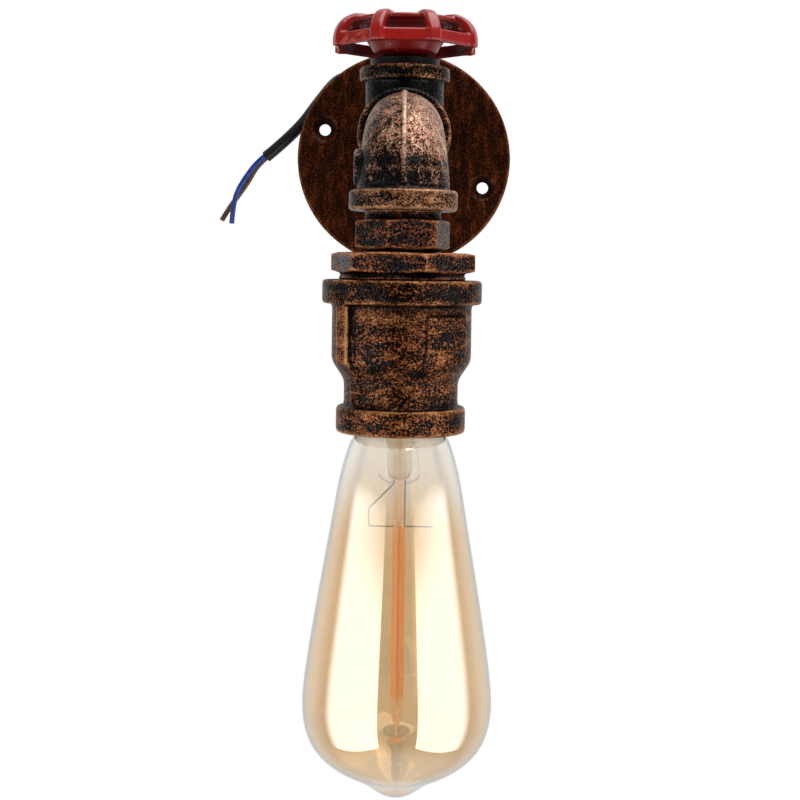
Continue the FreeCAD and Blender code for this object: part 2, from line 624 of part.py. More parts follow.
def make_hex_nipple():
    thread = "pipe_thread / 2"
    top = f"({ELBOW_FACE} + thread_reach)"
    bottom = f"({BUSHING_TOP} - thread_reach)"
    lower = thread_rings(thread, "thread_depth", "thread_pitch", bottom, HEX_BOTTOM)
    upper = thread_rings(thread, "thread_depth", "thread_pitch", HEX_TOP, top)
    shank = turned("nipple_shank", "lamp", [("0", bottom)] + lower + [
        (f"{thread} - thread_depth", HEX_BOTTOM)] + upper + [
        (f"{thread} - thread_depth", top), ("0", top)])
    hexagon = hex_bar("nipple_hexagon", "lamp", "nipple_hex", HEX_BOTTOM, "nipple_hex_height",
                      "nipple_turn")
    bore = plain_bar("nipple_bore", "lamp", "nipple_bore / 2", f"{bottom} - 1", f"{top} + 1")
    keep("hex_nipple", cut("hex_nipple", joined("nipple_outside", [shank, hexagon]), bore))


def make_hex_bushing():
    rings = thread_rings(BUSHING_THREAD, "bushing_thread_depth", "bushing_pitch", BUSHING_END,
                         BUSHING_HEX_END)
    shank = turned("bushing_shank", "lamp", [("0", BUSHING_END)] + rings + [
        (f"{BUSHING_THREAD} - bushing_thread_depth", BUSHING_HEX_END), ("0", BUSHING_HEX_END)])
    hexagon = hex_bar("bushing_hexagon", "lamp", "bushing_hex", BUSHING_HEX_END,
                      "bushing_hex_height", "bushing_turn")
    tapped = "pipe_thread / 2 + thread_gap"
    socket = f"{BUSHING_TOP} - socket_depth"
    bore = turned("bushing_inside", "lamp", [
        ("0", f"{BUSHING_END} - 1"), ("bushing_bore / 2", f"{BUSHING_END} - 1"),
        ("bushing_bore / 2", socket), (tapped, socket), (tapped, f"{BUSHING_TOP} + 1"),
        ("0", f"{BUSHING_TOP} + 1")])
    keep("hex_bushing", cut("hex_bushing", joined("bushing_outside", [shank, hexagon]), bore))


# Reducing coupling used as the lamp cup

def make_reducer_cup():
    upper = "cup_upper / 2"
    top_band = f"{upper} + cup_top_step"
    mouth_band = f"{CUP_LOWER} + cup_mouth_step"
    band_end = f"{CUP_TOP} - cup_top_band_width"
    mouth_start = f"{CUP_MOUTH} + cup_mouth_band_width"
    cone_start = f"{CUP_TOP} - cup_cone_start"
    cone_end = f"{CUP_TOP} - cup_cone_end"
    outside = turned("cup_outside", "lamp", [
        ("0", CUP_MOUTH), (mouth_band, CUP_MOUTH), (mouth_band, mouth_start),
        (CUP_LOWER, mouth_start), (CUP_LOWER, cone_end), (upper, cone_start), (upper, band_end),
        (top_band, band_end), (top_band, CUP_TOP), ("0", CUP_TOP)])
    round_rims(outside, "cup_taper_round", [(CUP_LOWER, cone_end), (upper, cone_start)])
    round_rims(outside, "edge_round", [(mouth_band, CUP_MOUTH), (mouth_band, mouth_start),
                                       (top_band, band_end), (top_band, CUP_TOP)])

    # Two ribs that run down over the taper, two raised panels and a slot beside each
    rib = f"{upper} + cup_rib_height"
    rib_foot = f"{CUP_LOWER} + cup_rib_foot"
    pad = f"{upper} + cup_pad_height"
    pad_low = f"{cone_start} + 3"
    pad_high = f"{band_end} - 3"
    slot = f"{upper} - cup_slot_depth"
    pieces = [outside]
    slots = []
    for side in range(2):
        about = f"{180 * side}"
        pieces.append(turned(f"cup_rib_{side}", "lamp", [
            (f"{CUP_LOWER} - 1", mouth_start), (rib_foot, mouth_start), (rib_foot, cone_end),
            (rib, cone_start), (rib, band_end), (f"{upper} - 1", band_end),
            (f"{upper} - 1", cone_start), (f"{CUP_LOWER} - 1", cone_end)],
            sweep="cup_rib_angle", turn=f"cup_rib_turn + {about}"))
        pieces.append(turned(f"cup_pad_{side}", "lamp", [
            (f"{upper} - 1", pad_low), (pad, f"{pad_low} + cup_pad_height"),
            (pad, f"{pad_high} - cup_pad_height"), (f"{upper} - 1", pad_high)],
            sweep="cup_pad_angle", turn=f"cup_pad_turn + {about}"))
        slots.append(turned(f"cup_slot_{side}", "lamp", [
            (slot, pad_low), (f"{pad} + 1", pad_low), (f"{pad} + 1", pad_high), (slot, pad_high)],
            sweep="cup_slot_angle", turn=f"cup_pad_turn - cup_slot_angle + {about}"))
    tapped = f"{BUSHING_THREAD} + thread_gap"
    inside = turned("cup_inside", "lamp", [
        ("0", f"{CUP_MOUTH} - 1"), (f"{MOUTH_BORE} + cup_mouth_chamfer + 1", f"{CUP_MOUTH} - 1"),
        (MOUTH_BORE, f"{CUP_MOUTH} + cup_mouth_chamfer"), (MOUTH_BORE, CUP_SEAT),
        (CUP_CHAMBER, CUP_SEAT), (CUP_CHAMBER, BUSHING_END), (tapped, BUSHING_END),
        (tapped, f"{CUP_TOP} + 1"), ("0", f"{CUP_TOP} + 1")])
    hollows = joined("cup_hollows", [inside] + slots)
    keep("reducer_cup", cut("reducer_cup", joined("cup_body", pieces), hollows))


# Plug and valve spindle

def make_valve():
    thread = "pipe_thread / 2"
    bore = "stem_diameter / 2 + run_clearance"
    rings = thread_rings(thread, "thread_depth", "thread_pitch", PLUG_END, "tee_centre")
    keep("top_plug", turned("top_plug", "valve", [(bore, PLUG_END)] + rings + [
        (f"{thread} - thread_depth", "tee_centre"), ("plug_neck / 2", "tee_centre"),
        ("plug_neck / 2", PLUG_TOP), (bore, PLUG_TOP)]))
    keep("thrust_washer", turned("thrust_washer", "valve", [
        (bore, PLUG_TOP), ("washer_diameter / 2", PLUG_TOP),
        ("washer_diameter / 2", f"{PLUG_TOP} + washer_thickness"),
        (bore, f"{PLUG_TOP} + washer_thickness")]))

    # The stem: thread, round shank, square, thread
    washer_top = f"({PLUG_END} - run_clearance)"
    nut_top = f"({washer_top} - lower_washer_thickness)"
    nut_bottom = f"({nut_top} - nut_height)"
    round_part = turned("stem_round", "valve", [
        ("0", f"{nut_bottom} - stem_tail"), ("stem_thread / 2", f"{nut_bottom} - stem_tail"),
        ("stem_thread / 2", washer_top), ("stem_diameter / 2", washer_top),
        ("stem_diameter / 2", HUB_BOTTOM), ("stem_thread / 2", HUB_BOTTOM),
        ("stem_thread / 2", f"{HUB_TOP} + nut_height + stem_tail"),
        ("0", f"{HUB_TOP} + nut_height + stem_tail")])
    square = doc.addObject("Part::Box", "stem_square")
    for side in ("Length", "Width"):
        square.setExpression(side, formula("stem_square"))
    square.setExpression("Height", formula(f"{HUB_TOP} - {HUB_BOTTOM}"))
    square.setExpression("Placement.Base.x", formula("0 - stem_square / 2"))
    square.setExpression("Placement.Base.y", formula(f"0 - {TEE_REACH} - stem_square / 2"))
    square.setExpression("Placement.Base.z", formula(HUB_BOTTOM))
    keep("valve_stem", joined("valve_stem", [round_part, square]))

    hole = "stem_thread / 2 + run_clearance"
    keep("stem_washer", turned("stem_washer", "valve", [
        (hole, nut_top), ("lower_washer_diameter / 2", nut_top),
        ("lower_washer_diameter / 2", washer_top), (hole, washer_top)]))
    for name, low in (("stem_nut", nut_bottom), ("handwheel_nut", HUB_TOP)):
        blank = hex_bar(name + "_blank", "valve", "nut_across", low, "nut_height", "0")
        bored = plain_bar(name + "_bore", "valve", hole, f"{low} - 1", f"{low} + nut_height + 1")
        keep(name, cut(name, blank, bored))


# Handwheel

def rib_solid():
    """One rib: a hook from the upper ring over and down to the rim."""
    base = number("wheel_height")
    reach = number("wheel_rib_reach")
    start = number("wheel_rib_start")
    top = number("wheel_rib_top")
    straight = number("wheel_rib_straight")
    ring_low = number("wheel_ring_low")
    ring_outer = number("wheel_ring_outer")
    rim_inner = number("wheel_rim_inner")
    rim_top = number("wheel_rim_height")
    width = number("wheel_rib_width")
    blunt = number("wheel_rib_blunt")
    crown = ring_outer - 0.1 * width

    def spot(radius, height):
        return FreeCAD.Vector(radius, -width / 2, base + height)

    def line(first, last):
        return Part.LineSegment(spot(*first), spot(*last))

    def bow(outer, inner):
        """A quarter round from a low outer point to a high inner one."""
        middle = (inner[0] + 0.72 * (outer[0] - inner[0]), outer[1] + 0.66 * (inner[1] - outer[1]))
        return Part.Arc(spot(*outer), spot(*middle), spot(*inner))

    edges = [
        line((reach, 0), (reach, straight)),
        bow((reach, straight), (crown, top)),
        line((crown, top), (start + blunt, top)),
        Part.Arc(spot(start + blunt, top), spot(start + 0.3 * blunt, top - 0.3 * blunt),
                 spot(start, top - blunt)),
        line((start, top - blunt), (start, ring_low)),
        line((start, ring_low), (crown, ring_low)),
        bow((rim_inner, rim_top), (crown, ring_low)),
        line((rim_inner, rim_top), (rim_inner, 0)),
        line((rim_inner, 0), (reach, 0)),
    ]
    profile = Part.Face(Part.Wire(Part.__sortEdges__([edge.toShape() for edge in edges])))
    rib = profile.extrude(FreeCAD.Vector(0, width, 0))
    long_edges = [edge for edge in rib.Edges
                  if edge.BoundBox.YLength < 1e-6 and edge.BoundBox.XMax > start + 0.1
                  and edge.BoundBox.ZMin > base + 0.5 * straight
                  and edge.BoundBox.ZMax > base + 1.1 * ring_low]
    return rib.makeFillet(number("wheel_rib_round"), long_edges)


def make_handwheel():
    base = "wheel_height"
    rim = doc.addObject("Part::Prism", "wheel_rim_blank")
    rim.setExpression("Polygon", formula("wheel_count"))
    rim.setExpression("Circumradius", formula("wheel_corner"))
    rim.setExpression("Height", formula("wheel_rim_height"))
    put_on_axis(rim, "valve", "180 / wheel_count")
    rim.setExpression("Placement.Base.z", formula(base))
    doc.recompute()
    softened = rim.Shape.makeFillet(number("edge_round") * 0.7, rim.Shape.Edges)
    rim_body = made("wheel_rim_softened", softened)
    rim_hole = plain_bar("wheel_rim_hole", "valve", "wheel_rim_inner", f"{base} - 1",
                         f"{base} + wheel_rim_height + 1")
    ring = cut("wheel_rim", rim_body, rim_hole)
    ring_top = f"{base} + wheel_ring_low + wheel_ring_thickness"
    waist = f"{base} + wheel_dish_waist_rise"
    dish = turned("wheel_dish", "valve", [
        ("0", HUB_BOTTOM), ("wheel_hub_radius", HUB_BOTTOM),
        ("wheel_dish_foot", f"{HUB_BOTTOM} + wheel_dish_foot_rise"), ("wheel_dish_waist", waist),
        ("wheel_ring_inner", f"{base} + wheel_ring_low"),
        ("wheel_ring_outer", f"{base} + wheel_ring_low"), ("wheel_ring_outer", ring_top),
        ("wheel_ring_inner - 0.3 * wheel_ring_thickness", ring_top),
        ("wheel_dish_waist - wheel_dish_wall", f"{waist} + wheel_dish_floor"),
        ("wheel_hub_radius", f"{base} + wheel_dish_floor"), ("wheel_hub_radius", HUB_TOP),
        ("0", HUB_TOP)])
    round_rims(dish, "edge_round * 0.7", [("wheel_ring_outer", ring_top),
                                          ("wheel_ring_outer", f"{base} + wheel_ring_low")])
    rib = rib_solid()
    valve = number(TEE_REACH)
    count = int(number("wheel_count"))
    ribs = []
    for index in range(count):
        copy = rib.copy()
        copy.rotate(FreeCAD.Vector(), UPRIGHT, 180 / count + 360 / count * index)
        copy.translate(FreeCAD.Vector(0, -valve, 0))
        ribs.append(made(f"wheel_rib_{index}", copy))
    hole = doc.addObject("Part::Box", "wheel_square_hole")
    for side in ("Length", "Width"):
        hole.setExpression(side, formula("stem_square + 2 * run_clearance"))
    hole.setExpression("Height", formula("wheel_height"))
    hole.setExpression("Placement.Base.x", formula("0 - stem_square / 2 - run_clearance"))
    hole.setExpression("Placement.Base.y", formula(f"0 - {TEE_REACH} - stem_square / 2 - run_clearance"))
    hole.setExpression("Placement.Base.z", formula(f"{HUB_BOTTOM} - 1"))
    keep("handwheel", cut("handwheel", joined("wheel_solid", [ring, dish] + ribs), hole))


# Lampholder inside the cup

def make_lampholder():
    rod = "rod_diameter / 2"
    rod_hole = f"{rod} + run_clearance"
    chamber = f"{CUP_CHAMBER} - disc_gap"
    keep("retaining_disc", turned("retaining_disc", "lamp", [
        (rod_hole, HOLDER_TOP), (chamber, HOLDER_TOP), (chamber, BUSHING_END),
        (rod_hole, BUSHING_END)]))
    nut_top = f"({BUSHING_END} + rod_nut_height)"
    rod_top = f"({nut_top} + rod_tail)"
    rod_bottom = f"({HOLDER_ROOF} + 1)"
    keep("holder_rod", turned("holder_rod", "lamp", [
        ("rod_bore / 2", rod_bottom), (rod, rod_bottom), (rod, rod_top), ("rod_bore / 2", rod_top)]))
    blank = hex_bar("rod_nut_blank", "lamp", "rod_nut_across", BUSHING_END, "rod_nut_height", "0")
    bored = plain_bar("rod_nut_bore", "lamp", rod_hole, f"{BUSHING_END} - 1", f"{nut_top} + 1")
    keep("rod_nut", cut("rod_nut", blank, bored))

    body_bottom = f"({HOLDER_TOP} - holder_length)"
    keep("holder_body", turned("holder_body", "lamp", [
        (rod_hole, HOLDER_TOP), (rod_hole, HOLDER_ROOF), (HOLDER_CAVITY, HOLDER_ROOF),
        (HOLDER_CAVITY, body_bottom), (HOLDER_SKIRT, body_bottom), (HOLDER_SKIRT, CUP_SEAT),
        (chamber, CUP_SEAT), (chamber, HOLDER_TOP)]))

    shell_outer = f"{SHELL_INSIDE} + shell_wall"
    web = f"({HOLDER_ROOF} - shell_wall)"
    shell_end = f"({HOLDER_ROOF} - shell_length)"
    keep("screw_shell", turned("screw_shell", "lamp", [
        ("shell_hole / 2", web), (SHELL_INSIDE, web), (SHELL_INSIDE, shell_end),
        (shell_outer, shell_end), (shell_outer, HOLDER_ROOF), ("shell_hole / 2", HOLDER_ROOF)]))

    # Centre contact: a strip bent twice, from the roof down to the bulb's button
    roof = number(HOLDER_ROOF)
    drop = number("contact_drop")
    thick = number("contact_thickness")
    width = number("contact_width")
    lamp = number(LAMP_REACH)
    foot_start = number("contact_margin - shell_hole / 2")
    foot_end = foot_start + number("contact_foot")
    end = foot_start + number("contact_length")
    touch = end - number("contact_touch")
    fold = thick / 5
    profile = [(foot_start, 0), (foot_end, 0), (touch, thick - drop), (end, thick - drop),
               (end, -drop), (touch - fold, -drop), (foot_end - fold, -thick),
               (foot_start, -thick)]
    corners = [FreeCAD.Vector(x, -lamp - width / 2, roof + z) for x, z in profile]
    strip = Part.Face(Part.makePolygon(corners + corners[:1])).extrude(FreeCAD.Vector(0, width, 0))
    keep("centre_contact", made("centre_contact", strip))


# Bulb

def glass_points():
    """Outline of the glass, from the cap's rim to its tip, as (radius, height)."""
    rim = number(CAP_RIM)
    names = ["shoulder", "waist", "flank", "belly", "heel", "base", "pip_root", "pip"]
    neck = number("glass_neck") / 2
    shoulder = number("shoulder_diameter") / 2
    drop = number("shoulder_drop")
    points = [(neck, rim), (neck + 0.6 * (shoulder - neck), rim - 0.32 * drop)]
    points += [(number(f"{name}_diameter") / 2, rim - number(f"{name}_drop")) for name in names]
    points.append((0, rim - number("glass_length")))
    return points


def glass_solid(inset):
    """The glass as a filled solid, with its outline moved in by the inset."""
    lamp = number(LAMP_REACH)
    curve = Part.BSplineCurve()
    outline = [FreeCAD.Vector(radius, 0, height) for radius, height in glass_points()]
    ends = {"InitialTangent": FreeCAD.Vector(0.15, 0, -1), "FinalTangent": FreeCAD.Vector(-1, 0, 0)}
    curve.interpolate(Points=outline, Scale=False, **ends)
    if inset:
        moved = []
        for point in outline[:-1]:
            along = curve.tangent(curve.parameter(point))[0]
            moved.append(point + FreeCAD.Vector(along.z, 0, -along.x) * inset)
        moved.append(outline[-1] + FreeCAD.Vector(0, 0, inset))
        moved[0] = outline[0] - FreeCAD.Vector(inset, 0, inset)
        curve = Part.BSplineCurve()
        curve.interpolate(Points=moved, Scale=False, **ends)
    start = curve.StartPoint
    end = curve.EndPoint
    top = number(CAP_RIM) + number("glass_spigot") + (1 if inset else 0)
    spigot = number(GLASS_SPIGOT) - inset
    loop = [
        curve.toShape(),
        Part.makeLine(end, FreeCAD.Vector(0, 0, top)),
        Part.makeLine(FreeCAD.Vector(0, 0, top), FreeCAD.Vector(spigot, 0, top)),
        Part.makeLine(FreeCAD.Vector(spigot, 0, top), FreeCAD.Vector(spigot, 0, start.z)),
        Part.makeLine(FreeCAD.Vector(spigot, 0, start.z), start),
    ]
    face = Part.Face(Part.Wire(Part.__sortEdges__(loop)))
    solid = face.revolve(FreeCAD.Vector(), UPRIGHT, 360)
    solid.translate(FreeCAD.Vector(0, -lamp, 0))
    return solid


def make_bulb():
    lamp = number(LAMP_REACH)
    hollow = number("glass_wall")
    keep("bulb_glass", made("bulb_glass", glass_solid(0).cut(glass_solid(hollow))))

    # Screw cap, with its thread as rings
    major = "cap_thread / 2"
    minor = f"({CAP_INSIDE} + cap_wall)"
    cap_top = f"({BUTTON_TOP} - insulator_height - button_height * 0.25)"
    first_ring = f"({CAP_RIM} + 1.2)"
    outline = [(CAP_INSIDE, CAP_RIM), (major, CAP_RIM), (minor, f"{CAP_RIM} + 1")]
    for ring in range(int(number("cap_turns"))):
        outline.append((minor, f"{first_ring} + cap_pitch * {ring}"))
        outline.append((major, f"{first_ring} + cap_pitch * {ring + 0.35}"))
        outline.append((major, f"{first_ring} + cap_pitch * {ring + 0.6}"))
    outline.append((minor, f"{first_ring} + cap_pitch * cap_turns"))
    neck = "insulator_diameter / 2"
    outline += [(minor, f"{cap_top} - 1.2"), (neck, cap_top), (neck, f"{cap_top} - cap_wall"),
                (CAP_INSIDE, f"{cap_top} - 1.6")]
    keep("bulb_cap", turned("bulb_cap", "lamp", outline))

    button = "button_diameter / 2"
    button_low = f"({BUTTON_TOP} - button_height)"
    socket = f"{button} + run_clearance"
    keep("cap_insulator", turned("cap_insulator", "lamp", [
        ("0", cap_top), (neck, cap_top), (neck, f"{cap_top} + 0.5"),
        (f"{socket} + 0.9", f"{BUTTON_TOP} - 0.5"), (socket, f"{BUTTON_TOP} - 0.5"),
        (socket, f"{button_low} - run_clearance"), ("0", f"{button_low} - run_clearance")]))
    keep("centre_button", turned("centre_button", "lamp", [
        ("0", button_low), (button, button_low), (button, f"{BUTTON_TOP} - 0.4"),
        (f"{button} - 0.6", BUTTON_TOP), ("0", BUTTON_TOP)]))

    # Inner glass mount, its wires and the filaments
    mount = "mount_diameter / 2"
    mount_end = f"({CAP_RIM} - mount_length)"
    flare = f"{GLASS_SPIGOT} - glass_wall - mount_gap"
    keep("stem_mount", turned("stem_mount", "lamp", [
        ("post_diameter / 2 + run_clearance", mount_end), (mount, mount_end),
        (mount, f"{CAP_RIM} - glass_spigot"), (flare, f"{CAP_RIM} + 1"), (flare, f"{CAP_RIM} + 3"),
        ("post_diameter / 2 + run_clearance", f"{CAP_RIM} + 3")]))
    filament_top = number(f"{CAP_RIM} - filament_drop")
    filament_low = filament_top - number("filament_length")
    rod = number("filament_diameter")
    offset = number("filament_spacing") / 2
    rods = [Part.makeCylinder(rod / 2, number("filament_length"),
                              FreeCAD.Vector(side * offset, face * offset - lamp, filament_low))
            for side in (-1, 1) for face in (-1, 1)]
    keep("led_filaments", made("led_filaments", Part.makeCompound(rods)))

    knot_top = f"({CAP_RIM} - knot_drop)"
    post = "post_diameter / 2"
    knot = "knot_diameter / 2"
    keep("filament_post", turned("filament_post", "lamp", [
        ("0", f"{knot_top} - knot_height"), (f"{knot} - 0.5", f"{knot_top} - knot_height"),
        (knot, f"{knot_top} - knot_height / 2"), (f"{knot} - 0.5", knot_top), (post, knot_top),
        (post, f"{CAP_RIM} + 2.5"), ("0", f"{CAP_RIM} + 2.5")]))

    # One lead-in wire slants out to the left and back to the filaments, the other comes
    # straight down beside the centre and its tail sticks out to the right
    wire = number("lead_wire")
    start = number("lead_start")
    spread = number("lead_spread")
    low = number(mount_end)
    level = filament_top - number("lead_level")
    slanted = [(-start, low), (-start, low - number("lead_stub")),
               (-spread, low - number("lead_slant")), (-spread, level), (-offset - 1.1 * wire, level)]
    straight = [(start, low), (start, level), (number("lead_tail"), level)]
    leads = []
    for points in (slanted, straight):
        spots = [FreeCAD.Vector(x, -lamp, z) for x, z in points]
        leads.append(tube(spots, wire, radius=number("lead_bend"))[0])
    keep("lead_wires", made("lead_wires", Part.makeCompound(leads)))

    board = doc.addObject("Part::Box", "driver_board")
    board_half = f"({GLASS_SPIGOT} - board_inset)"
    board.setExpression("Length", formula(f"2 * {board_half}"))
    board.setExpression("Width", formula("board_thickness"))
    board.setExpression("Height", formula("board_height"))
    board.setExpression("Placement.Base.x", formula(f"0 - {board_half}"))
    board.setExpression("Placement.Base.y", formula(f"0 - {LAMP_REACH} - board_thickness / 2"))
    board.setExpression("Placement.Base.z", formula(f"{CAP_RIM} + glass_spigot"))
    keep("driver_board", board)


# Flex, gland and cores

def make_flex():
    flex = number("flex_diameter")
    core = number("core_diameter")
    keep("cord_gland", turned("cord_gland", "arm", [
        ("flex_diameter / 2 + run_clearance", "nipple_setback"),
        ("pipe_bore / 2 - run_clearance", "nipple_setback"),
        ("pipe_bore / 2 - run_clearance", "nipple_setback + gland_length"),
        ("flex_diameter / 2 + run_clearance", "nipple_setback + gland_length")]))
    exit_depth = number("nipple_setback")
    keep("flex_inner", plain_bar("flex_inner", "arm", "flex_diameter / 2", "nipple_setback",
                                 "flex_inside"))

    # Free flex: out of the gland, over behind the plate, and past its left edge
    sheath = [FreeCAD.Vector(*point) for point in (
        (0, -exit_depth, 0), (0, 15, 0), (0, 30, 11), (-4.5, 35, 28), (-16.5, 29, 40),
        (-29.5, 17, 39.5), (-38, 7.5, 27.5), (-48.3, 4.6, 12.3), (-62.5, 4.8, 0.5))]
    solid, length, bends = tube(sheath, flex)
    print(f"flex_sheath {length:.1f} mm, radii", [round(bend, 1) for bend in bends])
    keep("flex_sheath", made("flex_sheath", solid))

    # Free cores, square on the flex's cut end, one crossing in front of the other
    routes = {
        "blue_core": ((-66.6, 3.5, -2.2), (-71.2, 2.6, -8.6), (-75.2, 2.3, -15.4),
                      (-76.9, 2.4, -22.7), (-77.4, 2.7, -29.8)),
        "brown_core": ((-66.4, 6.2, -3.1), (-70.2, 6.5, -10.2), (-74.6, 6.3, -16.6),
                       (-78.9, 5.5, -22.6), (-82.2, 4.9, -28.4)),
    }
    tip = sheath[-1]
    heading = (sheath[-1] - sheath[-2]).normalize()
    for name, points in routes.items():
        spots = [FreeCAD.Vector(*point) for point in points]
        ahead = (spots[0] - tip).dot(heading)
        spots.insert(0, spots[0] - heading * ahead)
        solid, length, bends = tube(spots, core)
        print(f"{name} {length:.1f} mm, radii", [round(bend, 1) for bend in bends])
        keep(name, made(name, solid))

    # Held cores: from the flex's end, through the arm and the elbow, to the lampholder
    inside = number("flex_inside")
    lamp = number(LAMP_REACH)
    end = number(f"{HOLDER_ROOF} + 1.5")
    bend = number("elbow_bend")
    offset = number("core_spacing") / 2
    for name, side in (("inner_blue_wire", -1), ("inner_brown_wire", 1)):
        spots = [FreeCAD.Vector(side * offset, y, z) for y, z in ((-inside, 0), (-lamp, 0), (-lamp, end))]
        keep(name, made(name, tube(spots, core, radius=bend)[0]))


make_wall_flange()
make_wall_nipple()
make_tee()
make_street_elbow()
make_hex_nipple()
make_hex_bushing()
make_reducer_cup()
make_valve()
make_handwheel()
make_lampholder()
make_bulb()
make_flex()
doc.recompute()

for item in doc.Objects:
    if "Invalid" in item.State or "Error" in item.State:
        raise RuntimeError(f"{item.Name} failed: {item.State}")
for name, piece in nodes.items():
    if piece.Shape.isNull() or not piece.Shape.isValid() or not piece.Shape.Solids:
        raise RuntimeError(f"{name} has no valid solid")

os.makedirs("parts", exist_ok=True)
for name, piece in nodes.items():
    piece.Shape.exportStep(f"parts/{name}.step")
    print(f"{name}: {len(piece.Shape.Solids)} solid, {piece.Shape.Volume:.0f} mm3")
print(len(nodes), "nodes")
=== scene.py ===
# %% [markdown]
# # A wall light made of pipe fittings
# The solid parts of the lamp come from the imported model, where every fitting has its
# true size. This lesson dresses them: it gives the castings their rounded skin and
# rubbed copper paint, blows the glass of the bulb, lays the flex, and lights it all.

# %% Load the frame
import math

import bmesh
import bpy
from mathutils import Matrix, Vector


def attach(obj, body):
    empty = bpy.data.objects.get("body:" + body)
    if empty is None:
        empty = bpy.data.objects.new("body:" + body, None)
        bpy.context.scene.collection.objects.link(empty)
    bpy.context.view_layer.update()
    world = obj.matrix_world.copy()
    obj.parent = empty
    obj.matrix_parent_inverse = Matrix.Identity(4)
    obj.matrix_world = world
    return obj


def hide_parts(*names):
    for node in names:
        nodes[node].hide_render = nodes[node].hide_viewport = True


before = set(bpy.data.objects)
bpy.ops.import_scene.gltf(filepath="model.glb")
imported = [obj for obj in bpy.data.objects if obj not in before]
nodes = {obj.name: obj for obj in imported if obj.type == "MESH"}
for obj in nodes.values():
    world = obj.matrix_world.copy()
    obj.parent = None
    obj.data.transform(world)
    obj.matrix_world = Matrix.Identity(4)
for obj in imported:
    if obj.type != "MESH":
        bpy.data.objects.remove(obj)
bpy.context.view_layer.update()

MM = 0.001
print("pieces in the frame:", len(nodes))

# %% [markdown]
# ## Camera
# The picture was taken close by, a little below the pipe arm. A 65 mm lens at 653 mm
# gives the same perspective: the wheel's underside and the cup's upper edges open up by
# the right amount. A camera that looks straight ahead keeps upright lines upright, and
# one that looks down makes them run together. This one looks down by 1.4 degrees, and
# its lens is shifted for the rest, because that fits the outline. The small roll is in
# the picture too. Blender keeps a camera's settings, and every shape, apart from the
# object that stands in the scene. A small helper brings the two together, here and for
# each piece below.

# %% Camera
WALL_TO_CAMERA, BELOW_ARM = 653, 47.7
LOOK_DOWN, ROLL = 1.43, -0.76


def add_piece(name, data):
    """Put a camera, a mesh or a curve into the scene as an object of that name."""
    piece = bpy.data.objects.new(name, data)
    bpy.context.scene.collection.objects.link(piece)
    return piece


camera_data = bpy.data.cameras.new("camera")
camera_data.lens = 65.2
camera_data.sensor_width = 36
camera_data.shift_x = -0.003
camera_data.shift_y = -0.123
camera_data.clip_start = 0.01
camera = add_piece("camera", camera_data)
camera.location = (0, -WALL_TO_CAMERA * MM, -BELOW_ARM * MM)
camera.rotation_euler = (math.radians(90 - LOOK_DOWN), math.radians(ROLL), 0)
bpy.context.scene.camera = camera
print("camera at", tuple(round(value, 3) for value in camera.location))

# %% [markdown]
# ## Flex and cores
# A flex is a fixed length of something bendy, so it is drawn as one smooth line with a
# round section. The line is a NURBS spline through a few points: it has no
# kinks, and the points are the same ones that the solid follows. The black sheath
# leaves the pipe's wall end, loops behind the plate and shows at its left edge, where
# the blue and the brown core come out, cross, and end in a clean cut.

# %% A smooth round cord
ROUNDNESS = 5


def lay_cord(name, points, diameter, body="fixture"):
    """Draw a round cord along points, given in millimetres. Each point holds the
    cord's radius and the section is 1 m, so that the curve's box fits round the cord."""
    data = bpy.data.curves.new(name, "CURVE")
    data.dimensions = "3D"
    spline = data.splines.new("NURBS")
    spline.points.add(len(points) - 1)
    for spot, point in zip(spline.points, points):
        spot.co = (*(value * MM for value in point), 1)
        spot.radius = diameter / 2 * MM
    spline.order_u = 3
    spline.use_endpoint_u = True
    spline.resolution_u = 16
    data.bevel_depth = 1.0
    data.bevel_resolution = ROUNDNESS
    data.use_fill_caps = True
    cord = add_piece(name, data)
    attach(cord, body)
    return cord


print("corners of a cord's section:", 4 + 2 * ROUNDNESS)

# %% Sheath, blue core and brown core
sheath_points = [(0, -2, 0), (0, 15, 0), (0, 30, 11), (-4.5, 35, 28), (-16.5, 29, 40),
                 (-29.5, 17, 39.5), (-38, 7.5, 27.5), (-48.3, 4.6, 12.3), (-62.5, 4.8, 0.5)]
blue_points = [(-62.86, 3.45, 0.91), (-66.6, 3.5, -2.2), (-71.2, 2.6, -8.6),
               (-75.2, 2.3, -15.4), (-76.9, 2.4, -22.7), (-77.4, 2.7, -29.8)]
brown_points = [(-62.31, 6.14, 0.30), (-66.4, 6.2, -3.1), (-70.2, 6.5, -10.2),
                (-74.6, 6.3, -16.6), (-78.9, 5.5, -22.6), (-82.2, 4.9, -28.4)]
sheath = lay_cord("flex_sheath_cord", sheath_points, 5.2)
blue = lay_cord("blue_core_cord", blue_points, 2.3)
brown = lay_cord("brown_core_cord", brown_points, 2.3)
for cord, node, points, length, diameter in (
        (sheath, "flex_sheath", sheath_points, 0.140, 0.0052),
        (blue, "blue_core", blue_points, 0.035, 0.0023),
        (brown, "brown_core", brown_points, 0.035, 0.0023)):
    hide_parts(node)
print("cords:", sheath.name, blue.name, brown.name)

# %% [markdown]
# ## Colours and nodes
# Paint charts give colours as screen values, and Blender mixes light in linear ones.
# One function turns the first into the second. A second one adds a shader node with its
# settings and links, so that each finish below reads as a short list of layers. Many
# layers are a soft step from one value to another, which is a Map Range node with
# smooth ends, or a mix of two colours. Their settings have short names here.

# %% Colour and node helpers
SOFT_STEP = {"interpolation_type": "SMOOTHSTEP"}
OF_COLOURS = {"data_type": "RGBA"}
WHITE = (1, 1, 1, 1)


def linear(code):
    """Turn a screen colour such as 8a1c1a into linear red, green, blue and alpha."""
    parts = [int(code[start:start + 2], 16) / 255 for start in (0, 2, 4)]
    return [part / 12.92 if part <= 0.04045 else ((part + 0.055) / 1.055) ** 2.4
            for part in parts] + [1.0]


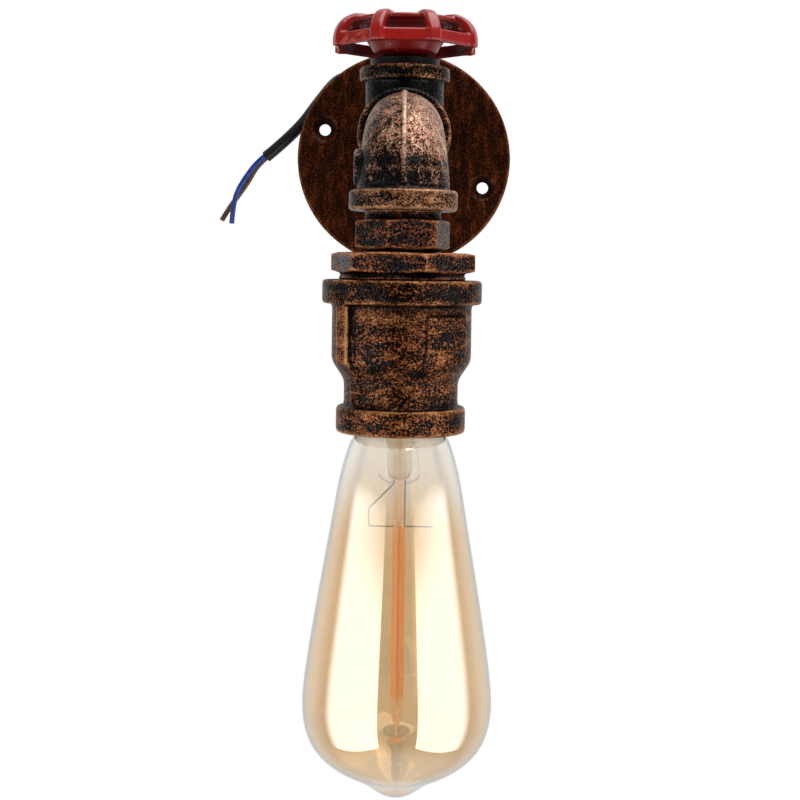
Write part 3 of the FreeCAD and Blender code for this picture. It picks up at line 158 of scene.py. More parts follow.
def layer(finish, kind, inputs=None, **settings):
    """Add one shader node: its settings, and each input's value or link. A node that is
    given as an input is linked by the first output that it has in use."""
    made = finish.node_tree.nodes.new(kind)
    for name, value in settings.items():
        setattr(made, name, value)
    for socket, value in (inputs or {}).items():
        if isinstance(value, bpy.types.Node):
            value = next(output for output in value.outputs if output.enabled)
        if isinstance(value, bpy.types.NodeSocket):
            finish.node_tree.links.new(value, made.inputs[socket])
        else:
            made.inputs[socket].default_value = value
    return made


def new_finish(name):
    """Start a material without any nodes."""
    finish = bpy.data.materials.new(name)
    finish.use_nodes = True
    finish.node_tree.nodes.clear()
    return finish


def weigh(finish, *shares):
    """Add up values, each with its own weight."""
    total = 0.0
    for value, weight in shares:
        total = layer(finish, "ShaderNodeMath", {0: value, 1: weight, 2: total},
                      operation="MULTIPLY_ADD")
    return total


print("linear red of 8a1c1a:", round(linear("8a1c1a")[0], 3))

# %% [markdown]
# ## Finish: copper rubbed over dark lacquer on cast iron
# Malleable iron fittings are sand cast, so their skin is grainy. These are sprayed with
# a near-black brown lacquer, and copper paint is then dragged over with a nearly dry
# brush. The copper only catches on grains, edges and open faces, and misses the
# corners. Three noises make the grain, the brush's drag and the patches it skipped. The
# speckle is drawn at 0.6 to 1.3 mm, a little coarser than the sand's grain, so that it
# shows at this size.

# %% Marks of the sand and of the brush
GRAIN, BRISTLE, PATCH = 0.62, 1.3, 8.0
ACROSS = (1.0, 1.0, 2.6)
DOWN = (2.4, 2.4, 0.8)


def brush_marks(finish, place, drag, seed):
    """Noises for the sand's grain, the brush's drag and the patches that it skipped."""
    dragged = layer(finish, "ShaderNodeMapping", {
        "Vector": place, "Location": (seed, seed, seed), "Scale": drag})
    return [layer(finish, "ShaderNodeTexNoise", {
        "Vector": ground, "Scale": 1 / (size * MM), "Detail": detail, "Roughness": rough})
        for ground, size, detail, rough in (
            (place, GRAIN, 1.5, 0.6), (dragged, BRISTLE, 2.5, 0.65),
            (dragged, PATCH, 3.0, 0.55))]


print("speckle of", GRAIN, "to", BRISTLE, "mm, patches of", PATCH, "mm")

# %% [markdown]
# The shape of the casting says the rest. Pointiness finds sharp edges, and an ambient
# occlusion node that looks into the metal finds the border beside them, which the brush
# also catches. Two that look outwards keep the copper out of corners and hollows, so the
# black there is partly the brush's gap and partly painted shade.

# %% Edges, borders, corners and open faces
def worn_and_shaded_places(finish):
    """Shares from 0 to 1 for sharp edges, borders beside them, places out of a corner, and
    open faces. The last two partly paint the shade of corners and hollows."""
    pointed = layer(finish, "ShaderNodeNewGeometry").outputs["Pointiness"]
    shares = [layer(finish, "ShaderNodeMapRange", {
        "Value": pointed, "From Min": 0.505, "From Max": 0.55}, **SOFT_STEP)]
    for reach, none, full, inside in (
            (2.2, 0.91, 0.72, True),     # beside an edge, seen from within
            (2.5, 0.55, 0.98, False),    # out of a corner
            (7.0, 0.5, 0.95, False)):    # on an open face
        free = layer(finish, "ShaderNodeAmbientOcclusion", {"Distance": reach * MM},
                     samples=8, only_local=True, inside=inside).outputs["AO"]
        shares.append(layer(finish, "ShaderNodeMapRange", {
            "Value": free, "From Min": none, "From Max": full}, **SOFT_STEP))
    return shares


def within_limits(finish, *limits):
    """1 where every value is past its limit. A limit is the value, the place in millimetres
    where its soft step starts, and the one where it is full."""
    share = 1.0
    for value, start, full in limits:
        step = layer(finish, "ShaderNodeMapRange", {
            "Value": value, "From Min": start * MM, "From Max": full * MM}, **SOFT_STEP)
        share = layer(finish, "ShaderNodeMath", {0: share, 1: step}, operation="MULTIPLY")
    return share


print("edges from pointiness, the rest from three occlusion nodes")

# %% [markdown]
# All of these are added up, each with its own weight, to say how well a place takes the
# copper. Four places are given: the brush skipped the neck of the tee, went lightly over
# the cup's upper band and caught the face of its rib, and the elbow's neck is kept dark
# as painted shade under its belly.

# %% How well each place takes the copper
LAMP = Vector((0, -160 * MM, 0))
RIB_SIDE_FADE, RIB_TOP_FADE, BARE_BOTTOM_FADE = 0.7, 0.5, 1.0


def rib_face(finish, place, level, radius, top):
    """1 on the face of a raised rib, found by its distance from the lamp's axis."""
    across = layer(finish, "ShaderNodeMapping", {
        "Vector": place, "Location": -LAMP, "Scale": (1, 1, 0)})
    reach = layer(finish, "ShaderNodeVectorMath", {0: across}, operation="LENGTH")
    return within_limits(finish, (reach.outputs["Value"], radius - RIB_SIDE_FADE, radius),
                         (level, top + RIB_TOP_FADE, top))


def copper_hold(finish, place, marks, wear_and_painted_light, painted_light_lean, skipped_and_shaded, rib):
    """Add up marks, wear and painted shade, painted light from the right, and set places."""
    spot = layer(finish, "ShaderNodeSeparateXYZ", {"Vector": place}).outputs
    grain, brush, patches = marks
    edge, border, uncornered, open_face = wear_and_painted_light
    # the share of X puts more copper to the right: painted light from that side
    shares = [(grain, 0.6), (brush, 0.38), (patches, 0.46), (edge, 0.14), (border, 0.13),
              (uncornered, 0.3), (open_face, 0.3), (spot["X"], painted_light_lean / MM)]
    if rib:
        shares.append((rib_face(finish, place, spot["Z"], *rib), 0.09))
    if skipped_and_shaded:
        bottom, top, fade, lack = skipped_and_shaded
        bare = within_limits(finish, (spot["Z"], top, top - fade),
                             (spot["Z"], bottom - BARE_BOTTOM_FADE, bottom))
        shares.append((bare, -lack))
    return weigh(finish, *shares)


print("lamp axis", round(-LAMP.y / MM), "mm from the wall")

# %% [markdown]
# One soft step of that sum decides where the copper lies, so its marks stay put from
# every side, and the highest places are rubbed bright. The lacquer mirrors less in its
# pores and hollows. The eye gets dull copper flecks on glossy black that is grey where
# it mirrors the room.

# %% Rubbed casting
COPPER_FROM = 1.36
POLISHED_FROM, POLISHED_TO = 0.04, 0.2
COPPER_METAL = 0.4
ROUGH_LACQUER, ROUGH_COPPER = 0.3, 0.38


def rubbed_casting(name, lacquer, copper, bright, drag, cover, soft=0.03, seed=0.0, painted_light_lean=0.0,
                   shine=0.3, skipped_and_shaded=None, rib=None):
    """Lacquered casting with copper dragged over it. drag stretches the brush marks, cover
    adds copper all over and lean adds it per millimetre to the right, as painted light
    from that side, and soft blurs its edge. shine is how much the bare lacquer mirrors.
    missed is a stretch of height with less copper, which on the elbow is painted shade:
    its bottom, its top, how far the top fades and how much copper it lacks. rib is the
    radius and the top of a raised rib."""
    finish = new_finish(name)
    place = layer(finish, "ShaderNodeTexCoord").outputs["Object"]
    marks = brush_marks(finish, place, drag, seed)
    wear_and_painted_light = worn_and_shaded_places(finish)
    grain, open_face = marks[0], wear_and_painted_light[-1]
    height = copper_hold(finish, place, marks, wear_and_painted_light, painted_light_lean, skipped_and_shaded, rib)
    start = COPPER_FROM - cover
    rubbed = layer(finish, "ShaderNodeMapRange", {
        "Value": height, "From Min": start - soft, "From Max": start + soft}, **SOFT_STEP)
    polished = layer(finish, "ShaderNodeMapRange", {
        "Value": height, "From Min": start + POLISHED_FROM, "From Max": start + POLISHED_TO},
        **SOFT_STEP)
    colour = layer(finish, "ShaderNodeMix", {0: rubbed, 6: linear(lacquer), 7: linear(copper)},
                   **OF_COLOURS)
    colour = layer(finish, "ShaderNodeMix", {0: polished, 6: colour, 7: linear(bright)},
                   **OF_COLOURS)
    metal = layer(finish, "ShaderNodeMath", {0: rubbed, 1: COPPER_METAL}, operation="MULTIPLY")
    rough = layer(finish, "ShaderNodeMapRange", {
        "Value": rubbed, "To Min": ROUGH_LACQUER, "To Max": ROUGH_COPPER}, **SOFT_STEP)
    pores = layer(finish, "ShaderNodeMapRange", {
        "Value": grain, "From Min": 0.4, "From Max": 0.62, "To Min": 0.02, "To Max": shine},
        **SOFT_STEP)
    gloss = layer(finish, "ShaderNodeMath", {0: open_face, 1: pores}, operation="MULTIPLY")
    bump = layer(finish, "ShaderNodeBump", {
        "Strength": 0.55, "Distance": 0.25 * MM, "Height": height})
    surface = layer(finish, "ShaderNodeBsdfPrincipled", {
        "Base Color": colour, "Metallic": metal, "Roughness": rough,
        "Specular IOR Level": gloss, "Normal": bump})
    layer(finish, "ShaderNodeOutputMaterial", {"Surface": surface})
    return finish


print("copper lies where the sum passes", COPPER_FROM)

# %% Finishes of the castings
# Bare stretches: bottom, top, fade of the top and lack of copper. Rib: radius and top.
# On the elbow the bare stretch is painted shade under the belly of the bend.
ELBOW_NECK_SHADE = (-22.0, -8.0, 6.0, 0.13)
TEE_NECK = (13.0, 22.5, 1.5, 0.21)
CUP_BAND = (-61.0, -50.0, 1.5, 0.05)
CUP_RIB = (25.8, -61.5)
# Cup: brushed round, most on its lower band and rib.
cup_finish = rubbed_casting("cast_iron_cup_copper_rub", "0b0502", "804726", "b38659", ACROSS,
                            cover=0.01, shine=0.2, skipped_and_shaded=CUP_BAND, rib=CUP_RIB)
# Hexagons: their flats mirror the room, and their rims catch the copper.
hex_finish = rubbed_casting("cast_iron_hex_copper_rub", "060303", "8a4826", "c48658", ACROSS,
                            cover=-0.03, seed=0.4, shine=0.42)
# Tee: little copper, in single strokes, and a bare black neck.
tee_finish = rubbed_casting("cast_iron_tee_copper_rub", "060404", "8a5230", "c8966c", ACROSS,
                            cover=-0.07, seed=2.3, skipped_and_shaded=TEE_NECK)
# Elbow: brushed down its back. More copper towards its right side is painted light
# from the right, and its dark neck is painted shade under its belly.
elbow_finish = rubbed_casting("cast_iron_elbow_copper_rub", "0a0807", "92634a", "d4b09a", DOWN,
                              cover=0.07, seed=0.9, painted_light_lean=0.004, shine=0.38, skipped_and_shaded=ELBOW_NECK_SHADE)
# The elbow's band: brushed across, with a little painted light from the right.
band_finish = rubbed_casting("cast_iron_band_copper_rub", "080504", "855536", "b88e6b", ACROSS,
                             cover=0.02, seed=0.9, painted_light_lean=0.002)
# Wall plate: redder, with a wetter brush, so that its marks run into each other.
plate_finish = rubbed_casting("cast_iron_plate_rust_rub", "160703", "5a280f", "84491f", DOWN,
                              cover=-0.02, soft=0.12, seed=1.7, shine=0.15)
print("casting finishes:", cup_finish.name, elbow_finish.name, plate_finish.name)

# %% [markdown]
# ## Castings
# A casting has no sharp corner: metal shrinks in the sand and every edge and every joint
# between two tubes comes out soft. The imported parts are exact, with long thin triangles
# that can't carry grain or worn edges. So each casting gets a skin of its own: a merged
# copy, rebuilt by the voxel remesher with even small faces, and smoothed a little. Even
# faces also make pointiness mean the same thing all over the surface.

# %% Even skin for a casting
MERGE_WITHIN = 0.002


def add_mesh(name, work):
    """Turn bmesh work into a mesh of that name, and put it into the scene."""
    mesh = bpy.data.meshes.new(name)
    work.to_mesh(mesh)
    work.free()
    return add_piece(name, mesh)


def cast_skin(node, finish, voxel_mm, rounds, body="fixture"):
    """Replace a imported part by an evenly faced, slightly softened copy of itself."""
    work = bmesh.new()
    work.from_mesh(nodes[node].data)
    bmesh.ops.remove_doubles(work, verts=work.verts, dist=MERGE_WITHIN * MM)
    piece = add_mesh(node + "_cast", work)
    remesh = piece.modifiers.new("even_faces", "REMESH")
    remesh.mode = "VOXEL"
    remesh.voxel_size = voxel_mm * MM
    remesh.use_smooth_shade = True
    soften = piece.modifiers.new("cast_edges", "SMOOTH")
    soften.factor = 0.5
    soften.iterations = rounds
    evaluated = piece.evaluated_get(bpy.context.evaluated_depsgraph_get())
    merged, final = piece.data, bpy.data.meshes.new_from_object(evaluated)
    piece.modifiers.clear()
    piece.data = final
    bpy.data.meshes.remove(merged)
    final.name = node + "_cast"
    final.materials.clear()
    final.materials.append(finish)
    final.shade_smooth()
    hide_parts(node)
    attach(piece, body)
    print(node, "skin of", len(final.polygons), "faces")
    return piece


print("points closer than", MERGE_WITHIN, "mm are one")

# %% The fittings
cast_skin("wall_flange", plate_finish, voxel_mm=0.6, rounds=3)
cast_skin("wall_nipple", tee_finish, voxel_mm=0.6, rounds=2)
cast_skin("tee", tee_finish, voxel_mm=0.5, rounds=4)
elbow = cast_skin("street_elbow", elbow_finish, voxel_mm=0.45, rounds=4)
cast_skin("hex_nipple", hex_finish, voxel_mm=0.4, rounds=2)
cast_skin("hex_bushing", hex_finish, voxel_mm=0.5, rounds=2)
cast_skin("reducer_cup", cup_finish, voxel_mm=0.55, rounds=6)

# %% The elbow's band
# The brush went across the band and down the back, so the band has its own finish.
elbow.data.materials.append(band_finish)
for face in elbow.data.polygons:
    face.material_index = 1 if face.center.z < ELBOW_NECK_SHADE[0] * MM else 0
print("band faces:", sum(face.material_index for face in elbow.data.polygons))

# %% [markdown]
# ## Wheel
# The wheel is cast in one piece and dipped in glossy enamel, which draws thin over the
# edges. Its skin is made as the fittings' are, with smaller faces because the ribs are
# slim. The enamel is a deep red under a clear glossy coat. It is darker in hollows and
# near the other parts, which is painted shade, and its coat is held back there, where it
# would mirror only dark metal. On the sharpest edges it is a shade lighter, partly
# thinner enamel and partly painted sheen.

# %% Red enamel and wheel
ENAMEL_RIPPLE, HOLLOW_REACH = 2.2, 25.0


def red_enamel():
    """Glossy red enamel on a casting, with painted shade in hollows and a lighter red over
    edges, partly thin enamel and partly painted sheen.
    """
    finish = new_finish("red_enamel_on_casting")
    place = layer(finish, "ShaderNodeTexCoord").outputs["Object"]
    ripple = layer(finish, "ShaderNodeTexNoise", {
        "Vector": place, "Scale": 1 / (ENAMEL_RIPPLE * MM), "Detail": 1.0, "Roughness": 0.5})
    pointed = layer(finish, "ShaderNodeNewGeometry").outputs["Pointiness"]
    # painted sheen, partly thin enamel: a lighter red on the sharpest edges where the ripple is
    # high
    edge = layer(finish, "ShaderNodeMapRange", {
        "Value": pointed, "From Min": 0.53, "From Max": 0.6}, **SOFT_STEP)
    thin = layer(finish, "ShaderNodeMapRange", {
        "Value": ripple, "From Min": 0.35, "From Max": 0.65}, **SOFT_STEP)
    wear_and_painted_light = layer(finish, "ShaderNodeMath", {0: edge, 1: thin}, operation="MULTIPLY")
    # painted shade: occlusion that also sees the other parts darkens the red in hollows and under
    # the wheel, and holds back its coat there
    free = layer(finish, "ShaderNodeAmbientOcclusion", {"Distance": HOLLOW_REACH * MM},
                 samples=8).outputs["AO"]
    open_face = layer(finish, "ShaderNodeMapRange", {
        "Value": free, "From Min": 0.4, "From Max": 0.95}, **SOFT_STEP)
    colour = layer(finish, "ShaderNodeMix", {
        0: ripple, 6: linear("86100e"), 7: linear("a41d19")}, **OF_COLOURS)
    colour = layer(finish, "ShaderNodeMix", {0: open_face, 6: linear("5a0505"), 7: colour},
                   **OF_COLOURS)
    colour = layer(finish, "ShaderNodeMix", {0: wear_and_painted_light, 6: colour, 7: linear("b8433a")},
                   **OF_COLOURS)
    coat = layer(finish, "ShaderNodeMath", {0: open_face, 1: 0.9}, operation="MULTIPLY")
    bump = layer(finish, "ShaderNodeBump", {
        "Strength": 0.25, "Distance": 0.15 * MM, "Height": ripple})
    surface = layer(finish, "ShaderNodeBsdfPrincipled", {
        "Base Color": colour, "Roughness": 0.35, "Specular IOR Level": 0.2,
        "Coat Weight": coat, "Coat Roughness": 0.14, "Normal": bump})
    layer(finish, "ShaderNodeOutputMaterial", {"Surface": surface})
    return finish


wheel = cast_skin("handwheel", red_enamel(), voxel_mm=0.4, rounds=3, body="valve_wheel")

# %% [markdown]
# ## Bulb glass
# The glass is blown into a mould, so it is round about its axis, with a thin even wall
# and a pip where it was closed. A half outline spun round the axis makes it, and a
# Solidify modifier gives the wall: light then bends at the outer and the inner surface,
# which draws the darker amber line at the edge. The outline's points were read off the
# picture, in millimetres from the lamp's axis and from the arm's axis.

# %% Spin helpers
def spun(name, outline, steps):
    """Turn a half outline of (radius, height) in millimetres about the lamp's axis."""
    work = bmesh.new()
    line = [work.verts.new((radius * MM, 0, height * MM)) for radius, height in outline]
    edges = [work.edges.new(pair) for pair in zip(line, line[1:])]
    bmesh.ops.spin(work, geom=line + edges, cent=(0, 0, 0), axis=(0, 0, 1), dvec=(0, 0, 0),
                   angle=math.tau, steps=steps, use_merge=True, use_duplicate=False)
    bmesh.ops.remove_doubles(work, verts=work.verts, dist=MERGE_WITHIN * MM)
    bmesh.ops.recalc_face_normals(work, faces=work.faces)
    bmesh.ops.translate(work, verts=work.verts, vec=LAMP)
    piece = add_mesh(name, work)
    piece.data.shade_smooth()
    return piece


def give_wall(piece, thickness_mm):
    """Give spun glass an inner surface, and round off both."""
    wall = piece.modifiers.new("glass_wall", "SOLIDIFY")
    wall.thickness = thickness_mm * MM
    wall.offset = -1
    smooth = piece.modifiers.new("smooth", "SUBSURF")
    smooth.levels = smooth.render_levels = 1


print("the glass is spun about", tuple(round(value, 3) for value in LAMP))

# %% Blow the bulb
bulb_outline = [
    (11.4, -97.2), (11.4, -100.5), (11.7, -102.3), (12.6, -103.3), (14.2, -104.4), (16.0, -105.9),
    (17.2, -108.2), (18.3, -111.7), (19.9, -117.2), (21.2, -123.2), (22.3, -130.0), (23.8, -138.6),
    (25.5, -148.4), (27.9, -162.4), (30.2, -176.4), (31.7, -187.0), (32.35, -194.0),
    (32.45, -198.6), (32.0, -203.2), (30.9, -207.4), (29.2, -211.0), (26.6, -214.4),
    (22.9, -217.5), (18.6, -220.1), (14.4, -222.2), (11.2, -224.1), (8.6, -226.2), (6.0, -228.0),
    (3.0, -229.4), (0.0, -229.8)]
bulb_glass = spun("bulb_glass_blown", bulb_outline, steps=72)
give_wall(bulb_glass, thickness_mm=0.8)
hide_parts("bulb_glass")
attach(bulb_glass, "bulb")
print("bulb", round(2 * max(radius for radius, height in bulb_outline), 1), "mm across")

# %% [markdown]
# ## Amber glass
# The tint is a thin gold-brown coating inside the glass, which starts below the neck.
# It colours what is seen through it only a little, and more at the edge, where the line
# of sight runs along the wall. Such a coating also mirrors more than bare glass does,
# so the clear coat on top has a higher index than glass: it gives the two tall pale
# reflections. Light that bends on its way to the rods inside is slow to find, so
# shadow and diffuse rays go straight through instead. They take the square root of the
# tint at each of a wall's two faces, which makes the tint of the whole wall.

# %% Amber and clear glass
TINT_FROM, TINT_FULL = -110, -140
SEED_SIZE, TINT_WANDER = 14.0, 6


def glass(name, tint_top, tint_low, coat_index, coat):
    """Smooth glass with a mirror-like coat and a tint that deepens from the neck down."""
    finish = new_finish(name)
    place = layer(finish, "ShaderNodeTexCoord").outputs["Object"]
    level = layer(finish, "ShaderNodeSeparateXYZ", {"Vector": place}).outputs["Z"]
    seeds = layer(finish, "ShaderNodeTexNoise", {
        "Vector": place, "Scale": 1 / (SEED_SIZE * MM), "Detail": 1.0, "Roughness": 0.5})
    share = layer(finish, "ShaderNodeMapRange", {
        "Value": weigh(finish, (level, 1.0), (seeds, TINT_WANDER * MM)),
        "From Min": TINT_FROM * MM, "From Max": TINT_FULL * MM}, **SOFT_STEP)
    tint = layer(finish, "ShaderNodeMix", {
        0: share, 6: linear(tint_top), 7: linear(tint_low)}, **OF_COLOURS)
    bending = layer(finish, "ShaderNodeBsdfPrincipled", {
        "Base Color": tint, "Roughness": 0.0, "IOR": 1.5, "Transmission Weight": 1.0,
        "Coat Weight": coat, "Coat Roughness": 0.03, "Coat IOR": coat_index})
    face_tint = layer(finish, "ShaderNodeGamma", {"Color": tint, "Gamma": 0.5})
    straight = layer(finish, "ShaderNodeBsdfTransparent", {"Color": face_tint})
    rays = layer(finish, "ShaderNodeLightPath").outputs
    lighting = layer(finish, "ShaderNodeMath", {
        0: rays["Is Shadow Ray"], 1: rays["Is Diffuse Ray"]}, operation="MAXIMUM")
    surface = layer(finish, "ShaderNodeMixShader", {0: lighting, 1: bending, 2: straight})
    layer(finish, "ShaderNodeOutputMaterial", {"Surface": surface})
    return finish


# The bulb: nearly clear at the neck, and amber with a strong mirror below it.
amber_glass = glass("amber_coated_glass", "fbf9f5", "f0d9b5", coat_index=2.9, coat=1.0)
# The mount inside: plain lamp glass, with a faint warm cast and no coat.
clear_glass = glass("clear_lamp_glass", "f6f0e4", "f6f0e4", coat_index=1.5, coat=0.0)
bulb_glass.data.materials.append(amber_glass)
print("glass finishes:", amber_glass.name, clear_glass.name)

# %% [markdown]
# ## Inside the bulb
# The inner mount is a flared glass tube whose end was pressed flat round the wires
# while hot. It is spun like the bulb, and its end is then squeezed. The light comes
# from four slim rods round a centre wire; each has metal ends that are welded to the
# lead-in wires above and to the knot below.

# %% Glass mount
PRESS_FROM, PRESS_LENGTH, PRESSED_BY = -112, 7, 0.45
mount = spun("glass_mount", [
    (10.0, -99.4), (9.6, -100.6), (7.6, -102.8), (5.6, -105.2), (4.6, -108.0), (4.25, -112.0),
    (4.2, -116.0), (3.9, -118.6), (3.2, -120.4), (0.6, -120.95), (0.0, -120.95)], steps=40)
for corner in mount.data.vertices:
    share = (PRESS_FROM * MM - corner.co.z) / (PRESS_LENGTH * MM)
    squeeze = min(1.0, max(0.0, share))
    corner.co.y = LAMP.y + (corner.co.y - LAMP.y) * (1 - PRESSED_BY * squeeze)
give_wall(mount, thickness_mm=0.7)
mount.data.materials.append(clear_glass)
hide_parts("stem_mount")
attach(mount, "bulb")
print("mount pressed to", round(100 * (1 - PRESSED_BY)), "% of its thickness")

# %% [markdown]
# ## Finishes of the small parts
# Most of these parts are hidden, or show only when the bulb is screwed out. Each still
# gets a finish of its own, and one function is enough for that: a colour that wanders
# between two tones, a roughness that wanders with it, and a fine bump. A metal takes
# its colour from the metal itself, and the rest from paint, glaze, plastic or rubber.

# %% Finish for small parts
ROUGH_WANDER = 0.06


def plain_finish(name, light, dark, size_mm, rough, metallic=0.0, bump_mm=0.02, specular=0.5):
    """A finish whose colour wanders a little and whose surface has a fine texture."""
    finish = new_finish(name)
    place = layer(finish, "ShaderNodeTexCoord").outputs["Object"]
    texture = layer(finish, "ShaderNodeTexNoise", {
        "Vector": place, "Scale": 1 / (size_mm * MM), "Detail": 3.0, "Roughness": 0.5})
    share = layer(finish, "ShaderNodeMapRange", {
        "Value": texture, "From Min": 0.3, "From Max": 0.7}, **SOFT_STEP)
    colour = layer(finish, "ShaderNodeMix", {0: share, 6: linear(dark), 7: linear(light)},
                   **OF_COLOURS)
    roughness = layer(finish, "ShaderNodeMapRange", {
        "Value": texture, "From Min": 0.2, "From Max": 0.8,
        "To Min": rough - ROUGH_WANDER, "To Max": rough + ROUGH_WANDER}, **SOFT_STEP)
    bump = layer(finish, "ShaderNodeBump", {
        "Strength": 0.4, "Distance": bump_mm * MM, "Height": texture})
    surface = layer(finish, "ShaderNodeBsdfPrincipled", {
        "Base Color": colour, "Metallic": metallic, "Roughness": roughness,
        "Specular IOR Level": specular, "Normal": bump})
    layer(finish, "ShaderNodeOutputMaterial", {"Surface": surface})
    return finish


print("roughness wanders by", ROUGH_WANDER, "either way")

# %% Metals, paint, glaze and cap glass
# Turned steel under a thin coat of zinc: bright grey, a little cloudy.
zinc = plain_finish("zinc_plated_steel", "b9bcc0", "8f9296", 1.2, 0.34, metallic=1.0)
# Cast plug brushed with black paint: nearly black, with a soft shine.
black_paint = plain_finish("black_painted_plug", "08080a", "030304", 1.0, 0.36, bump_mm=0.1,
                           specular=0.25)
# Fired clay under a clear glaze: warm white and smooth.
porcelain = plain_finish("glazed_porcelain", "eeebe2", "e3dfd3", 6.0, 0.16)
# Rolled brass, pressed into shape: yellow with a soft mirror.
brass = plain_finish("rolled_brass_sheet", "cfa862", "a9823f", 2.0, 0.3, metallic=1.0)
# A drop of solder: grey, dented and half dull.
tin = plain_finish("solder_button", "b9b8b2", "8e8d88", 0.9, 0.38, metallic=1.0, bump_mm=0.08)
# Thin brass sheet, nickelled and rolled to a thread: pale and mirror-like.
cap_sheet = plain_finish("nickelled_lamp_cap", "c7c0ae", "a49d8c", 2.5, 0.25, metallic=1.0)
# Black glass pressed into the cap's end: dark and glossy.
cap_glass = plain_finish("black_cap_glass", "0c0c12", "050508", 2.0, 0.12)
# Drawn nickel wire: warm grey.
nickel = plain_finish("nickel_lead_wire", "8d8278", "6a5f56", 0.5, 0.4, metallic=1.0)
# Iron wire plated with copper: pinkish, pale where it mirrors the room.
copper_wire = plain_finish("copper_plated_wire", "f6e0b4", "e6c894", 0.5, 0.35, metallic=1.0)
print("metals:", zinc.name, brass.name, tin.name, cap_sheet.name, nickel.name, copper_wire.name)

# %% Board, rubber and flex
# Glass-fibre board under green lacquer: even and half glossy.
board = plain_finish("printed_board", "1d5a36", "134227", 1.5, 0.45)
# Moulded rubber: black and dull.
gland = plain_finish("black_rubber_gland", "141414", "0b0b0b", 0.8, 0.7, bump_mm=0.06)
# Extruded PVC: black with a soft shine.
flex_black = plain_finish("black_flex_sheath", "121214", "08080a", 1.4, 0.36, bump_mm=0.04)
# Thin PVC round each core, dyed through: smooth, half glossy.
core_blue = plain_finish("blue_core_insulation", "1c3f9c", "122a70", 2.2, 0.34)
core_brown = plain_finish("brown_core_insulation", "6a4632", "4a2f22", 2.2, 0.36)
print("plastics:", board.name, gland.name, flex_black.name, core_blue.name, core_brown.name)

# %% [markdown]
# ## Phosphor
# Each rod is a row of tiny light chips under silicone that is full of yellow phosphor.
# Unlit, it looks like yellow wax, and shines through when light falls on it from
# behind. A translucent shader takes in the light of the far side, and is mixed with a
# plain soft one. Seen through the amber glass, one pair of rods is orange and the other
# golden, as in the picture.

# %% Phosphor that shines through
PHOSPHOR_GRAIN, SHINE_THROUGH = 1.1, 0.6


def phosphor_finish(name, light, dark):
    """Silicone filled with phosphor: it scatters light that falls on it from any side."""
    finish = new_finish(name)
    place = layer(finish, "ShaderNodeTexCoord").outputs["Object"]
    grain = layer(finish, "ShaderNodeTexNoise", {
        "Vector": place, "Scale": 1 / (PHOSPHOR_GRAIN * MM), "Detail": 2.0, "Roughness": 0.5})
    share = layer(finish, "ShaderNodeMapRange", {
        "Value": grain, "From Min": 0.3, "From Max": 0.7}, **SOFT_STEP)
    colour = layer(finish, "ShaderNodeMix", {0: share, 6: linear(dark), 7: linear(light)},
                   **OF_COLOURS)
    near = layer(finish, "ShaderNodeBsdfPrincipled", {"Base Color": colour, "Roughness": 0.5})
    through = layer(finish, "ShaderNodeBsdfTranslucent", {"Color": colour})
    surface = layer(finish, "ShaderNodeMixShader", {0: SHINE_THROUGH, 1: near, 2: through})
    layer(finish, "ShaderNodeOutputMaterial", {"Surface": surface})
    return finish


# Left pair: paler silicone, which looks orange through the glass.
orange_phosphor = phosphor_finish("orange_phosphor_rod", "ffdc72", "ffce5c")
# Right pair: more phosphor in it, which looks golden.
golden_phosphor = phosphor_finish("golden_phosphor_rod", "fccc30", "f4be20")
print("phosphor:", orange_phosphor.name, golden_phosphor.name)

# %% Filament rods
RODS_TOP, RODS_BOTTOM = -134.4, -198.3
ROD_OFFSET, ROD_RADIUS, ROD_ROUNDING, BARE_END = 1.2, 1.0, 0.5, 2.5
rod_places = [(side, face) for side in (-ROD_OFFSET, ROD_OFFSET)
              for face in (-ROD_OFFSET, ROD_OFFSET)]


def add_bar(work, place, height, length, radius, segments):
    """Add an upright bar at a place beside the lamp's axis. All sizes are in millimetres."""
    spot = Matrix.Translation((place[0] * MM, LAMP.y + place[1] * MM, height * MM))
    bmesh.ops.create_cone(work, cap_ends=True, segments=segments, radius1=radius * MM,
                          radius2=radius * MM, depth=length * MM, matrix=spot)


work = bmesh.new()
for place in rod_places:
    add_bar(work, place, (RODS_TOP + RODS_BOTTOM) / 2, RODS_TOP - RODS_BOTTOM - 2 * BARE_END,
            ROD_RADIUS, segments=20)
# the edges that lie level are the rims of the rods' ends
rims = [edge for edge in work.edges if abs(edge.verts[0].co.z - edge.verts[1].co.z) < 1e-6]
bmesh.ops.bevel(work, geom=rims, offset=ROD_ROUNDING * MM, segments=3, profile=0.5,
                affect="EDGES", material=-1)
rods = add_mesh("filament_rods", work)
rods.data.shade_smooth()
rods.data.materials.append(orange_phosphor)
rods.data.materials.append(golden_phosphor)
for face in rods.data.polygons:
    face.material_index = 1 if face.center.x > 0 else 0
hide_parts("led_filaments")
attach(rods, "bulb")
print(len(rod_places), "rods,", round(RODS_TOP - RODS_BOTTOM, 1), "mm with their ends")

# %% Metal ends of the rods
END_LENGTH, END_RADIUS = 2.8, 0.45
work = bmesh.new()
for place in rod_places:
    for height in (RODS_TOP - END_LENGTH / 2, RODS_BOTTOM + END_LENGTH / 2):
        add_bar(work, place, height, END_LENGTH, END_RADIUS, segments=12)
ends = add_mesh("filament_ends", work)
ends.data.materials.append(copper_wire)
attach(ends, "bulb")
print(2 * len(rod_places), "ends,", END_LENGTH, "mm long")

# %% [markdown]
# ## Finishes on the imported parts
# The turned and pressed parts are small and mostly hidden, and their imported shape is
# already the real one. They keep it and only get their finish.

